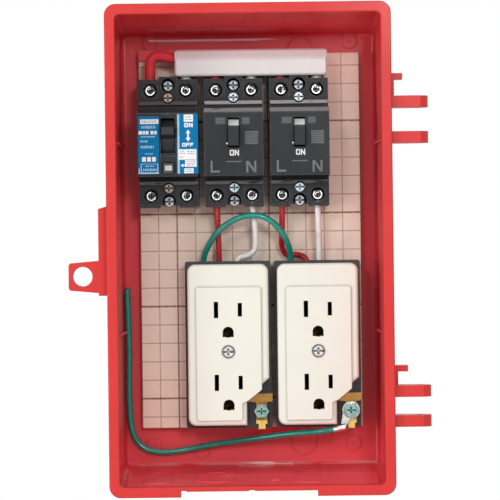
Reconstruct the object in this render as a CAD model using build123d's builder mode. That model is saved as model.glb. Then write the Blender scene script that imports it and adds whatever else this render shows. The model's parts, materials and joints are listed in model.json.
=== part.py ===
from build123d import *
import math
import os

# Wall-mounted temporary-power box, lid taken off: a residual-current (earth
# leakage) main breaker feeds two two-pole branch breakers through a covered
# crossover, and each branch feeds one duplex earthed receptacle.
#
# Frame: origin at the centre of the flat back face, X to the right seen from
# the front, +Z up, the open front faces -Y.  A "depth" d below is the distance
# in front of the back face, so a point at depth d has y = -d.  Millimetres.

os.makedirs("parts", exist_ok=True)

# ---------------------------------------------------------------- dimensions
# box
BOX_W, BOX_H, BOX_D = 149.5, 257.5, 78.0      # over the front flange
IN_W, IN_H = 138.5, 246.5                     # clear opening at the rim
WALL = 2.5
FLOOR_HALF_Z = 117.5                          # half height of the floor inside
FLANGE_T = 2.8
WALL_SCREW_X, WALL_SCREW_Z = 109.0, 219.6     # wall screw pattern
WALL_SCREW_C = (1.0, 3.4)
WALL_SCREW_R = 1.75
ARM_T, ARM_END = 6.1, 94.0                    # lid hinge arms
ARM_Z = (76.4, 57.8, -74.9, -90.5)            # centre heights of the four arms
HINGE_X, HINGE_D, HINGE_R = 88.0, 68.0, 2.1   # lid hinge axis
LOCK_X, LOCK_Z, LOCK_R = -88.0, -13.2, 5.15   # padlock hole

# mounting board
BOARD_W, BOARD_H, BOARD_T = 120.0, 203.0, 5.0
BOARD_X, BOARD_Z = 0.5, 5.0
BOARD_D0 = 6.0
BOARD_D1 = BOARD_D0 + BOARD_T                 # front face of the board, d = 11
BOARD_SCREWS = ((-50, 70), (36, 70), (-28, -60), (54, -60))

# breakers
BRK_Z = 57.3                                  # centre height
BRK_H = 68.4
ELB_X, ELB_W = -43.0, 32.0
BR_W = 31.4
BR_X = {"a": -8.0, "b": 27.0}
POLE = 9.5                                    # pole offset from breaker centre
D_SPLIT, D_TERM, D_FACE = 32.0, 36.0, 55.0    # housing split, terminal face, front face
D_PLATE = 27.0                                # underside of the terminal plates
SCREW_Z = 28.2                                # terminal screw offset
COVER_SCREW_Z = 24.1
MOUNT_SCREW_Z = 31.0

# receptacles
REC_X = {"a": -12.2, "b": 35.7}
REC_Z = -50.75
REC_W, REC_H = 45.8, 89.2                     # black base
COV_W, COV_H = 43.2, 86.0                     # ivory cover
COV_Z = -50.7
SLOT = 6.35                                   # blade slot offset (12.7 between blades)
ROW_Z = (-32.0, -70.8)                        # blade rows
GND = 11.9                                    # earth pin below the blades

# leads
WIRE = 3.2                                    # insulated branch wire
MAIN = 5.6                                    # insulated crossover wire


def front(d):
    """Plane across the box at depth d; extruding goes towards the front."""
    return Plane(origin=(0, -d, 0), x_dir=(1, 0, 0), z_dir=(0, -1, 0))


def side(x=0.0):
    """Plane along the depth at x; local x is depth, local y is height."""
    return Plane(origin=(x, 0, 0), x_dir=(0, -1, 0), z_dir=(-1, 0, 0))


def flat(z):
    """Horizontal plane at height z; local x is X, local y is -depth."""
    return Plane(origin=(0, 0, z), x_dir=(1, 0, 0), z_dir=(0, 0, 1))


def plate(d0, d1, x, z, w, h, r=0.0, mode=Mode.ADD):
    """Rectangular plate from depth d0 to d1, centred at (x, z)."""
    with BuildSketch(front(d0)) as sk:
        with Locations((x, z)):
            if r > 0:
                RectangleRounded(w, h, r)
            else:
                Rectangle(w, h)
    extrude(sk.sketch, amount=d1 - d0, mode=mode)


def disc(d0, d1, x, z, r, mode=Mode.ADD):
    """Round boss or hole from depth d0 to d1, centred at (x, z)."""
    with BuildSketch(front(d0)) as sk:
        with Locations((x, z)):
            Circle(r)
    extrude(sk.sketch, amount=d1 - d0, mode=mode)


def discs(d0, d1, pts, r, mode=Mode.ADD):
    with BuildSketch(front(d0)) as sk:
        with Locations(*pts):
            Circle(r)
    extrude(sk.sketch, amount=d1 - d0, mode=mode)


def bar_x(x0, x1, d, z, r, mode=Mode.ADD):
    """Round bar along X."""
    with BuildSketch(side((x0 + x1) / 2)) as sk:
        with Locations((d, z)):
            Circle(r)
    extrude(sk.sketch, amount=(x1 - x0) / 2, both=True, mode=mode)


def wedge(pts, x0, x1, mode=Mode.ADD):
    """Side profile of (depth, height) points, extruded from x0 to x1."""
    with BuildSketch(side((x0 + x1) / 2)) as sk:
        with BuildLine():
            Polyline(*pts, close=True)
        make_face()
    extrude(sk.sketch, amount=(x1 - x0) / 2, both=True, mode=mode)


def keep(piece, name):
    piece.part.label = name
    export_step(piece.part, "parts/" + name + ".step")


# ------------------------------------------------------------------ box body
RIM_HALF_Z = IN_H / 2
SLOPE = (RIM_HALF_Z - FLOOR_HALF_Z) / (BOX_D - WALL)      # draft of top and bottom walls

with BuildPart() as box_body:
    # outside of the tray: straight side walls, drafted top and bottom walls
    zb = FLOOR_HALF_Z + WALL - SLOPE * WALL
    zr = RIM_HALF_Z + WALL
    wedge([(0, -zb), (BOX_D, -zr), (BOX_D, zr), (0, zb)], -IN_W / 2 - WALL, IN_W / 2 + WALL)
    fillet(box_body.edges().filter_by(lambda e: abs(e.tangent_at(0.5).Y) > 0.9), radius=5.0)
    back = box_body.faces().sort_by(Axis.Y)[-1]
    fillet(back.edges(), radius=2.0)
    # rim flange
    plate(BOX_D - FLANGE_T, BOX_D, 0, 0, BOX_W, BOX_H, 6.0)

with BuildPart() as box_cavity:
    wedge([(WALL, -FLOOR_HALF_Z), (BOX_D + 2, -RIM_HALF_Z - 2 * SLOPE),
           (BOX_D + 2, RIM_HALF_Z + 2 * SLOPE), (WALL, FLOOR_HALF_Z)], -IN_W / 2, IN_W / 2)
    fillet(box_cavity.edges().filter_by(lambda e: abs(e.tangent_at(0.5).Y) > 0.9), radius=2.6)
    fillet(box_cavity.faces().sort_by(Axis.Y)[-1].edges(), radius=2.2)

with box_body:
    add(box_cavity.part, mode=Mode.SUBTRACT)
    # soft outer and inner edges of the rim
    rim = box_body.faces().sort_by(Axis.Y)[0]
    chamfer(rim.edges(), length=0.5)

# low beads round the knock-outs of the top and bottom walls
with BuildPart() as knock_top:
    wedge([(WALL, FLOOR_HALF_Z - 0.35), (BOX_D - 6, RIM_HALF_Z - 0.35 - SLOPE * 6),
           (BOX_D - 6, RIM_HALF_Z + 1), (WALL, FLOOR_HALF_Z + 1)], -60, 60)
    with BuildSketch(flat(105)):
        with Locations((28.6, -34), (-28.6, -34)):
            SlotOverall(46, 20, rotation=90)
            SlotOverall(44.4, 18.4, rotation=90, mode=Mode.SUBTRACT)
        with Locations((0.6, -44)):
            SlotOverall(30, 7, rotation=90)
            SlotOverall(28.6, 5.6, rotation=90, mode=Mode.SUBTRACT)
    extrude(amount=25, mode=Mode.INTERSECT)

with BuildPart() as knock_bottom:
    wedge([(WALL, -FLOOR_HALF_Z + 0.35), (BOX_D - 6, -RIM_HALF_Z + 0.35 + SLOPE * 6),
           (BOX_D - 6, -RIM_HALF_Z - 1), (WALL, -FLOOR_HALF_Z - 1)], -62, 62)
    with BuildSketch(flat(-130)):
        with Locations((30, -47), (-50, -47)):
            SlotOverall(40, 16, rotation=90)
            SlotOverall(38.4, 14.4, rotation=90, mode=Mode.SUBTRACT)
        with Locations((-20, -47)):
            SlotOverall(34, 22, rotation=90)
            SlotOverall(32.4, 20.4, rotation=90, mode=Mode.SUBTRACT)
        with Locations((12, -58)):
            Circle(2.7)
            Circle(1.9, mode=Mode.SUBTRACT)
    extrude(amount=25, mode=Mode.INTERSECT)

with box_body:
    add(knock_top.part)
    add(knock_bottom.part)
    # the lower edge of the flange is cut away where the cables leave
    plate(BOX_D - FLANGE_T - 1, BOX_D + 1, -1.8, -zr - 2.0, 71.3, 4.0, mode=Mode.SUBTRACT)
    # small relief notches in that edge
    plate(BOX_D - 3, BOX_D + 1, -0.5, -RIM_HALF_Z - 2.3, 3.0, 1.2, mode=Mode.SUBTRACT)
    plate(BOX_D - 3, BOX_D + 1, -36.0, -RIM_HALF_Z - 2.3, 2.6, 1.2, mode=Mode.SUBTRACT)
    # knock-out rings on the floor
    with BuildSketch(front(WALL - 0.2)):
        with Locations((28.1, -104.8)):
            Circle(7.6)
            Circle(6.8, mode=Mode.SUBTRACT)
        with Locations((-27.6, -109.6)):
            Circle(4.5)
            Circle(3.9, mode=Mode.SUBTRACT)
        with Locations((28.6, 108.5)):
            Circle(7.6)
            Circle(6.8, mode=Mode.SUBTRACT)
    extrude(amount=0.55)
    # low wall screw bosses, drilled from the back and closed by a thin web that the screw pierces
    pts = [(WALL_SCREW_C[0] + sx * WALL_SCREW_X / 2, WALL_SCREW_C[1] + sz * WALL_SCREW_Z / 2)
           for sx in (-1, 1) for sz in (-1, 1)]
    discs(WALL - 0.5, WALL + 0.6, pts, 4.0)
    discs(-1, WALL, pts, WALL_SCREW_R, mode=Mode.SUBTRACT)
    discs(WALL + 0.35, WALL + 2, pts, 0.9, mode=Mode.SUBTRACT)
    # pads that carry the mounting board, with pilot holes for its screws
    discs(WALL - 0.5, BOARD_D0, BOARD_SCREWS, 4.5)
    discs(WALL - 0.5, BOARD_D0, [(-52, 98), (53, 98), (-52, -88), (53, -88)], 4.0)
    discs(1.0, BOARD_D0 + 1, BOARD_SCREWS, 1.7, mode=Mode.SUBTRACT)
    # claw over the upper left corner of the board
    plate(WALL - 0.5, 13.2, -49.6, 107.9, 19.8, 1.6)
    plate(BOARD_D1 + 0.15, 13.2, -49.6, 105.4, 19.8, 5.4)
    # short gussets on the side walls
    for gx in (-1, 1):
        for gz, gd in ((56.6, 62.0), (-44.0, 68.0)):
            with BuildSketch(flat(gz - 0.6)):
                with BuildLine():
                    Polyline((gx * (IN_W / 2 + 0.5), -12.0), (gx * (IN_W / 2 - 2.4), -16.0),
                             (gx * (IN_W / 2 - 1.0), -gd), (gx * (IN_W / 2 + 0.5), -gd), close=True)
                make_face()
            extrude(amount=1.2)
    # lid hinge arms with their pin bores
    for az in ARM_Z:
        with BuildSketch(flat(az - ARM_T / 2)):
            with BuildLine():
                Polyline((IN_W / 2 + 0.6, -58), (ARM_END - 4, -62.0), (ARM_END - 4, -74), (IN_W / 2 + 0.6, -74), close=True)
            make_face()
            with Locations((HINGE_X, -HINGE_D)):
                Circle(6.0)
        extrude(amount=ARM_T)
    with BuildSketch(flat(-100)):
        with Locations((HINGE_X, -HINGE_D)):
            Circle(HINGE_R)
    extrude(amount=190, mode=Mode.SUBTRACT)
    # stop pegs beside the arms and the webs between them
    plate(60, 70, 75.6, 89.8, 10.2, 3.2)
    plate(60, 70, 76.2, -63.2, 11.4, 3.2)
    plate(60, 70, 73.5, 84.0, 5.6, 9.8)
    plate(60, 70, 73.7, -67.5, 6.0, 9.8)
    # lock plate and padlock tab on the left
    with BuildSketch(front(52)):
        with BuildLine():
            Polyline((-IN_W / 2 - 1, -23.4), (-79.6, -23.4), (-79.6, 22.2), (-74.9, 23.6), (-IN_W / 2 - 1, 23.6), close=True)
        make_face()
    extrude(amount=14)
    with BuildSketch(front(60)):
        with BuildLine():
            Polyline((-IN_W / 2 - 1, -4.6), (-74.8, -4.6), (-95.4, -6.2), (-95.4, -20.4), (-74.8, -22.4),
                     (-IN_W / 2 - 1, -22.4), close=True)
        tab_face = make_face()
        fillet(tab_face.vertices().group_by(Axis.X)[0], radius=1.6)
        with Locations((LOCK_X, LOCK_Z)):
            Circle(LOCK_R, mode=Mode.SUBTRACT)
    extrude(amount=6)
keep(box_body, "box_body")

# ------------------------------------------------------------ mounting board
with BuildPart() as mounting_board:
    plate(BOARD_D0, BOARD_D1, BOARD_X, BOARD_Z, BOARD_W, BOARD_H, 1.0)
    chamfer(mounting_board.faces().sort_by(Axis.Y)[0].edges(), length=0.4)
    # countersunk holes for the board screws
    with Locations(*[Location(front(BOARD_D1).from_local_coords(Vector(x, z, 0)), front(BOARD_D1).location.orientation)
                     for x, z in BOARD_SCREWS]):
        CounterSinkHole(radius=2.2, counter_sink_radius=4.0, counter_sink_angle=90)
    # pilot holes for the screws of the breakers and receptacles
    brk = [(x, BRK_Z + s * MOUNT_SCREW_Z) for x in (ELB_X, BR_X["a"], BR_X["b"]) for s in (-1, 1)]
    rec = [(x - 15.5, z) for x in REC_X.values() for z in (-18.0, -84.0)]
    discs(BOARD_D0 - 1, BOARD_D1 + 1, brk + rec, 1.75, mode=Mode.SUBTRACT)
keep(mounting_board, "mounting_board")

with BuildPart() as board_screws:
    discs(2.0, BOARD_D1 - 2.2, BOARD_SCREWS, 1.6)
    with Locations(*[Location((x, -(BOARD_D1 - 1.25), z), (90, 0, 0)) for x, z in BOARD_SCREWS]):
        Cone(bottom_radius=1.6, top_radius=3.5, height=1.9)
    for a, b in ((4.0, 0.9), (0.9, 4.0)):
        with BuildSketch(front(BOARD_D1 - 1.2)):
            with Locations(*BOARD_SCREWS):
                Rectangle(a, b)
        extrude(amount=2, mode=Mode.SUBTRACT)
keep(board_screws, "board_screws")


# ----------------------------------------------------------- breaker housings
def breaker_base(xc, w, name):
    """Lower half of a moulded breaker housing."""
    zt, zn = BRK_Z + BRK_H / 2, BRK_Z - BRK_H / 2
    with BuildPart() as p:
        plate(BOARD_D1, D_SPLIT, xc, BRK_Z, w, BRK_H, 0.6)
        # centre tongue at the top, matching recess at the bottom
        plate(BOARD_D1, D_SPLIT, xc, zt + 0.2, 10.0, 2.6)
        plate(BOARD_D1 - 1, D_SPLIT + 1, xc, zn, 10.6, 2.6, mode=Mode.SUBTRACT)
        # mechanism chamber
        plate(13.0, D_SPLIT + 1, xc, BRK_Z, w - 3.6, 41.0, mode=Mode.SUBTRACT)
        for s in (-1, 1):
            for px in (-POLE, POLE):
                # wire pocket, open at the end and at the front
                plate(D_PLATE, D_SPLIT + 1, xc + px, BRK_Z + s * 29.0, 8.6, 14.0, mode=Mode.SUBTRACT)
                # slot through the barrier for the terminal plate
                plate(D_PLATE, D_PLATE + 1.2, xc + px, BRK_Z + s * 21.0, 7.2, 4.0, mode=Mode.SUBTRACT)
                # clearance for the terminal screw below the plate
                disc(19.0, D_PLATE + 1, xc + px, BRK_Z + s * SCREW_Z, 2.3, mode=Mode.SUBTRACT)
            # mounting screw hole with its counterbore
            disc(BOARD_D1 - 1, D_SPLIT + 1, xc, BRK_Z + s * MOUNT_SCREW_Z, 2.2, mode=Mode.SUBTRACT)
            disc(27.5, D_SPLIT + 1, xc, BRK_Z + s * MOUNT_SCREW_Z, 3.7, mode=Mode.SUBTRACT)
            # cover screw pilot
            disc(17.0, D_SPLIT + 1, xc, BRK_Z + s * COVER_SCREW_Z, 1.3, mode=Mode.SUBTRACT)
        # bearing ribs for the contact carrier, notched for its shaft
        for sx in (-1, 1):
            plate(12.5, 30.5, xc + sx * (w / 2 - 2.7), BRK_Z - 8.0, 1.9, 8.0)
        bar_x(xc - w / 2 + 1.8, xc + w / 2 - 1.8, 30.5, BRK_Z - 8.0, 1.3, mode=Mode.SUBTRACT)
        # ledges under the inner ends of the terminal plates
        for s in (-1, 1):
            plate(12.5, D_PLATE, xc, BRK_Z + s * 18.9, w - 3.0, 3.4)
    keep(p, name)
    return p


def terminal_zone(xc, w):
    """Terminal faces and the cover's outline, shared by the three breakers."""
    zt, zn = BRK_Z + BRK_H / 2, BRK_Z - BRK_H / 2
    plate(D_SPLIT, D_TERM, xc, BRK_Z, w, BRK_H, 0.6)
    plate(D_SPLIT, D_TERM, xc, zt + 0.2, 10.0, 2.6)
    plate(D_SPLIT - 1, D_TERM + 1, xc, zn, 10.6, 2.6, mode=Mode.SUBTRACT)


def terminal_holes(xc, w):
    for s in (-1, 1):
        for px in (-POLE, POLE):
            # screw window and the wire way behind the end lip
            disc(D_SPLIT - 1, D_TERM + 6, xc + px, BRK_Z + s * SCREW_Z, 3.9, mode=Mode.SUBTRACT)
            plate(D_SPLIT - 1, D_TERM - 1.9, xc + px, BRK_Z + s * 30.0, 8.0, 10.0, mode=Mode.SUBTRACT)
        # fine grooves between the terminals and the centre, and along the end
        for sx in (-1, 1):
            plate(D_TERM - 0.4, D_TERM + 1, xc + sx * 5.1, BRK_Z + s * 28.4, 0.35, 10.8, mode=Mode.SUBTRACT)
        plate(D_TERM - 0.3, D_TERM + 1, xc, BRK_Z + s * 33.0, w - 1.6, 0.3, mode=Mode.SUBTRACT)
        disc(D_SPLIT - 1, D_TERM + 6, xc, BRK_Z + s * MOUNT_SCREW_Z, 3.7, mode=Mode.SUBTRACT)
        disc(D_SPLIT - 1, D_TERM + 8, xc, BRK_Z + s * COVER_SCREW_Z, 1.6, mode=Mode.SUBTRACT)
        disc(D_TERM, D_TERM + 8, xc, BRK_Z + s * COVER_SCREW_Z, 3.1, mode=Mode.SUBTRACT)


def ridges(xc, w):
    """Low ridges between the terminal zones and the raised block."""
    for s in (-1, 1):
        wedge([(D_TERM - 1, BRK_Z + s * 22.3), (D_TERM + 2.4, BRK_Z + s * 22.3), (D_TERM + 3.6, BRK_Z + s * 20.4),
               (D_TERM - 1, BRK_Z + s * 20.4)], xc - w / 2 + 0.3, xc + w / 2 - 0.3)
        plate(D_TERM - 1, D_TERM + 1.0, xc, BRK_Z + s * 19.2, w - 0.6, 3.0)


def screw_group(name, items):
    """Fasteners as (x, z, seat depth, head radius, head height, shank radius, tip depth)."""
    with BuildPart() as p:
        for x, z, seat, hr, hh, sr, tip in items:
            disc(tip, seat, x, z, sr)
            with BuildSketch(front(seat)):
                with Locations((x, z)):
                    Circle(hr)
            extrude(amount=hh)
        top = [e for e in p.edges().filter_by(GeomType.CIRCLE)
               if any(abs(-e.arc_center.Y - (i[2] + i[4])) < 1e-3 and abs(e.radius - i[3]) < 1e-3 for i in items)]
        chamfer(top, length=min(i[4] for i in items) * 0.25)
        for x, z, seat, hr, hh, sr, tip in items:
            # cross recess with the longer slot of a combination screw
            with BuildSketch(front(seat + hh - 0.9)):
                with Locations((x, z)):
                    Rectangle(hr * 1.7, hr * 0.26)
                    Rectangle(hr * 0.26, hr * 1.1)
            extrude(amount=2, mode=Mode.SUBTRACT)
    keep(p, name)
    return p


def toggle(xc, z_pivot, d_pivot, w, tilt, r_skirt, half_up, half_down, lever_half, r_tip, hub_w, name):
    """Handle: hub on its pin, curved skirt behind the window, lever through it.

    tilt is the angle in degrees of the lever at rest, up positive."""
    with BuildPart() as p:
        # skirt sector
        a0, a1 = math.radians(tilt - half_down), math.radians(tilt + half_up)
        am = (a0 + a1) / 2

        def at(r, a):
            return (d_pivot + r * math.cos(a), z_pivot + r * math.sin(a))

        with BuildSketch(side(xc)):
            with BuildLine():
                ThreePointArc(at(r_skirt, a0), at(r_skirt, am), at(r_skirt, a1))
                Line(at(r_skirt, a1), at(r_skirt - 1.6, a1))
                ThreePointArc(at(r_skirt - 1.6, a1), at(r_skirt - 1.6, am), at(r_skirt - 1.6, a0))
                Line(at(r_skirt - 1.6, a0), at(r_skirt, a0))
            make_face()
        extrude(amount=w / 2, both=True)
        # web from the hub to the skirt
        t = math.radians(tilt)
        u, n = (math.cos(t), math.sin(t)), (-math.sin(t), math.cos(t))

        def loc(r, h):
            return (d_pivot + r * u[0] + h * n[0], z_pivot + r * u[1] + h * n[1])

        with BuildSketch(side(xc)):
            with BuildLine():
                Polyline(loc(0, -2.2), loc(r_skirt - 0.8, -3.6), loc(r_skirt - 0.8, 3.6), loc(0, 2.2), close=True)
            make_face()
        extrude(amount=w / 2 - 0.6, both=True)
        bar_x(xc - hub_w / 2, xc + hub_w / 2, d_pivot, z_pivot, 3.0)
        # lever, slightly tapered towards its tip
        with BuildSketch(side(xc)):
            with BuildLine():
                Polyline(loc(r_skirt - 1.0, -lever_half), loc(r_tip, -lever_half + 0.7), loc(r_tip, lever_half - 0.7),
                         loc(r_skirt - 1.0, lever_half), close=True)
            make_face()
        extrude(amount=w / 2, both=True)
        tip_edges = [e for e in p.edges() if math.hypot(-e.center().Y - d_pivot, e.center().Z - z_pivot) > r_tip - 0.9]
        fillet(tip_edges, radius=0.5)
        bar_x(xc - hub_w / 2 - 1, xc + hub_w / 2 + 1, d_pivot, z_pivot, 1.55, mode=Mode.SUBTRACT)
    keep(p, name)
    return p


def contact_carrier(xc, w, angle, name):
    """Two spring-bronze contact arms on one insulated cross bar with its shaft.

    angle is how far the arms stand open at rest, in degrees."""
    with BuildPart() as p:
        d0, z0 = 30.5, BRK_Z - 8.0
        t = math.radians(angle)

        def rot(d, z):
            return (d0 + (d - d0) * math.cos(t) + (z - z0) * math.sin(t),
                    z0 - (d - d0) * math.sin(t) + (z - z0) * math.cos(t))

        bar_x(xc - w / 2 + 2.0, xc + w / 2 - 2.0, d0, z0, 1.25)
        wedge([rot(28.3, z0 - 2.2), rot(33.2, z0 - 2.2), rot(33.2, z0 + 2.2), rot(28.3, z0 + 2.2)],
              xc - w / 2 + 4.0, xc + w / 2 - 4.0)
        for px in (-POLE, POLE):
            wedge([rot(30.1, z0), rot(31.1, z0), rot(31.1, z0 + 20.2), rot(30.1, z0 + 20.2)],
                  xc + px - 2.0, xc + px + 2.0)
            # contact tip, flat towards the fixed contact
            wedge([rot(29.25, z0 + 16.6), rot(30.3, z0 + 16.6), rot(30.3, z0 + 19.6), rot(29.25, z0 + 19.6)],
                  xc + px - 1.6, xc + px + 1.6)
    keep(p, name)
    return p


def terminal_plates(xc, name):
    """Four terminal plates; the upper pair carries the fixed contacts."""
    with BuildPart() as p:
        for px in (-POLE, POLE):
            plate(D_PLATE, D_PLATE + 1.2, xc + px, BRK_Z + 21.8, 7.0, 22.4)
            plate(D_PLATE, D_PLATE + 1.2, xc + px, BRK_Z - 24.9, 7.0, 16.2)
            plate(D_PLATE + 1.2, D_PLATE + 2.2, xc + px, BRK_Z + 12.5, 3.6, 3.6)
            for s in (-1, 1):
                disc(D_PLATE - 1, D_PLATE + 2, xc + px, BRK_Z + s * SCREW_Z, 1.95, mode=Mode.SUBTRACT)
    keep(p, name)
    return p


def arc_chutes(xc, name):
    """One comb of splitter plates per pole beside the contact tips."""
    with BuildPart() as p:
        for px in (-POLE, POLE):
            for sx in (-1, 1):
                plate(28.2, 34.3, xc + px + sx * 3.4, BRK_Z + 17.1, 0.5, 4.0)
            for k in range(4):
                plate(28.9 + 1.5 * k, 29.5 + 1.5 * k, xc + px, BRK_Z + 17.1, 6.6, 4.0)
    keep(p, name)
    return p


# ------------------------------------------------------------- main breaker
elb_base = breaker_base(ELB_X, ELB_W, "elb_base")

LABEL_Z0, LABEL_Z1 = 40.4, 72.0
with BuildPart() as elb_cover:
    terminal_zone(ELB_X, ELB_W)
    ridges(ELB_X, ELB_W)
    # raised block; its upper edge is bevelled
    wedge([(D_SPLIT, BRK_Z - 18.2), (D_FACE, BRK_Z - 18.2), (D_FACE, BRK_Z + 15.3), (D_FACE - 2.4, BRK_Z + 17.8),
           (D_SPLIT, BRK_Z + 17.8)], ELB_X - ELB_W / 2, ELB_X + ELB_W / 2)
    # inside of the cover
    plate(D_SPLIT - 1, 34.4, ELB_X, BRK_Z, ELB_W - 3.6, 41.0, mode=Mode.SUBTRACT)
    plate(34.0, D_FACE - 1.6, ELB_X, BRK_Z - 0.2, ELB_W - 3.6, 32.6, mode=Mode.SUBTRACT)
    terminal_holes(ELB_X, ELB_W)
    # shelf on the right that carries the rating label a little higher
    plate(D_FACE - 1, D_FACE + 0.7, -32.25, 56.2, 11.1, 31.8)
    # recessed centre column with the handle slot and the button hole
    plate(D_FACE - 0.8, D_FACE + 2, -42.5, 56.4, 8.3, 31.4, mode=Mode.SUBTRACT)
    plate(D_FACE - 1.0, D_FACE, -42.5, 71.0, 8.3, 2.0)
    plate(D_FACE - 1.0, D_FACE - 0.1, -42.5, 48.4, 8.3, 3.2)
    plate(D_FACE - 6, D_FACE + 3, -42.8, 60.6, 7.5, 18.6, mode=Mode.SUBTRACT)
    plate(D_FACE - 9, D_FACE + 3, -42.7, 43.35, 6.2, 6.2, mode=Mode.SUBTRACT)
    # lugs that hold the handle pin
    for sx in (-1, 1):
        plate(36.0, D_FACE - 1, ELB_X + sx * 5.6, 58.9, 1.6, 6.0)
    bar_x(ELB_X - 7, ELB_X + 7, 38.4, 58.9, 1.55, mode=Mode.SUBTRACT)
    # posts that hold the circuit board and the trip coil
    plate(34.4, D_FACE - 1, ELB_X - 12.6, BRK_Z - 14.8, 3.0, 3.0)
    plate(34.4, D_FACE - 1, ELB_X - 12.6, BRK_Z + 14.4, 3.0, 3.0)
keep(elb_cover, "elb_cover")

# printed rating labels: thin plates laid on the cover
with BuildPart() as elb_label_left:
    plate(D_FACE, D_FACE + 0.25, -52.95, 55.7, 10.9, 30.4, 0.4)
keep(elb_label_left, "elb_label_left")
with BuildPart() as elb_label_right:
    plate(D_FACE + 0.7, D_FACE + 0.95, -32.25, 56.2, 10.9, 31.6, 0.4)
keep(elb_label_right, "elb_label_right")

ELB_PIV = (58.9, 38.4)                        # handle pivot: height, depth
elb_handle = toggle(-42.8, ELB_PIV[0], ELB_PIV[1], 6.9, 11.6, 14.8, 34, 56, 2.9, 21.2, 9.0, "elb_handle")
elb_contacts = contact_carrier(ELB_X, ELB_W, 0.0, "elb_moving_contacts")
elb_plates = terminal_plates(ELB_X, "elb_terminal_plates")
elb_arc = arc_chutes(ELB_X, "elb_arc_chutes")

with BuildPart() as elb_current_transformer:
    # ring core that both poles pass, lying on the chamber floor
    disc(13.2, 20.0, ELB_X, BRK_Z + 1.0, 11.0)
    disc(12.0, 21.0, ELB_X, BRK_Z + 1.0, 5.5, mode=Mode.SUBTRACT)
    fillet(elb_current_transformer.edges(), radius=1.2)
keep(elb_current_transformer, "elb_current_transformer")

with BuildPart() as elb_circuit_board:
    # upright board beside the handle with its main components
    plate(35.0, 52.0, ELB_X - 10.5, BRK_Z - 0.2, 1.2, 31.0)
    for cz, cd, ch, cw in ((-9, 38, 5, 2.0), (-1, 40, 6, 2.2), (8, 37, 4, 1.6), (6, 45, 5, 2.4)):
        plate(cd, cd + 5, ELB_X - 9.9 + cw / 2 - 0.1, BRK_Z + cz, cw, ch)
keep(elb_circuit_board, "elb_circuit_board")

with BuildPart() as elb_trip_coil:
    # bobbin with its winding, axis up and down
    with BuildSketch(flat(BRK_Z - 9.0)):
        with Locations((ELB_X + 10.7, -45.0)):
            Rectangle(7.0, 9.0)
    extrude(amount=1.0)
    with BuildSketch(flat(BRK_Z - 8.0)):
        with Locations((ELB_X + 10.7, -45.0)):
            Circle(3.4)
    extrude(amount=12.0)
    with BuildSketch(flat(BRK_Z + 4.0)):
        with Locations((ELB_X + 10.7, -45.0)):
            Rectangle(7.0, 9.0)
    extrude(amount=1.0)
    with BuildSketch(flat(BRK_Z - 7.0)):
        with Locations((ELB_X + 10.7, -45.0)):
            Circle(1.55)
    extrude(amount=20.0, mode=Mode.SUBTRACT)
keep(elb_trip_coil, "elb_trip_coil")

with BuildPart() as elb_trip_plunger:
    with BuildSketch(flat(BRK_Z - 4.0)):
        with Locations((ELB_X + 10.7, -45.0)):
            Circle(1.5)
    extrude(amount=12.5)
    with BuildSketch(flat(BRK_Z + 8.5)):
        with Locations((ELB_X + 10.7, -45.0)):
            Circle(2.6)
    extrude(amount=1.2)
keep(elb_trip_plunger, "elb_trip_plunger")

TEST_Z, TEST_X = 43.35, -42.7
with BuildPart() as elb_test_button:
    plate(49.3, 55.8, TEST_X, TEST_Z, 5.8, 5.8)
    fillet(elb_test_button.faces().sort_by(Axis.Y)[0].edges(), radius=0.4)
    plate(52.3, 53.3, TEST_X, TEST_Z + 0.55, 7.6, 5.8)
    disc(45.6, 49.3, TEST_X, TEST_Z + 0.4, 1.2)
keep(elb_test_button, "elb_test_button")

with BuildPart() as elb_test_contact:
    # bronze leaf fixed to the cover's lower wall, just behind the button's stem
    plate(38.0, 44.0, TEST_X, BRK_Z - 16.3, 4.0, 0.4)
    plate(43.6, 44.0, TEST_X, BRK_Z - 14.5, 4.0, 4.0)
keep(elb_test_contact, "elb_test_contact")


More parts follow.
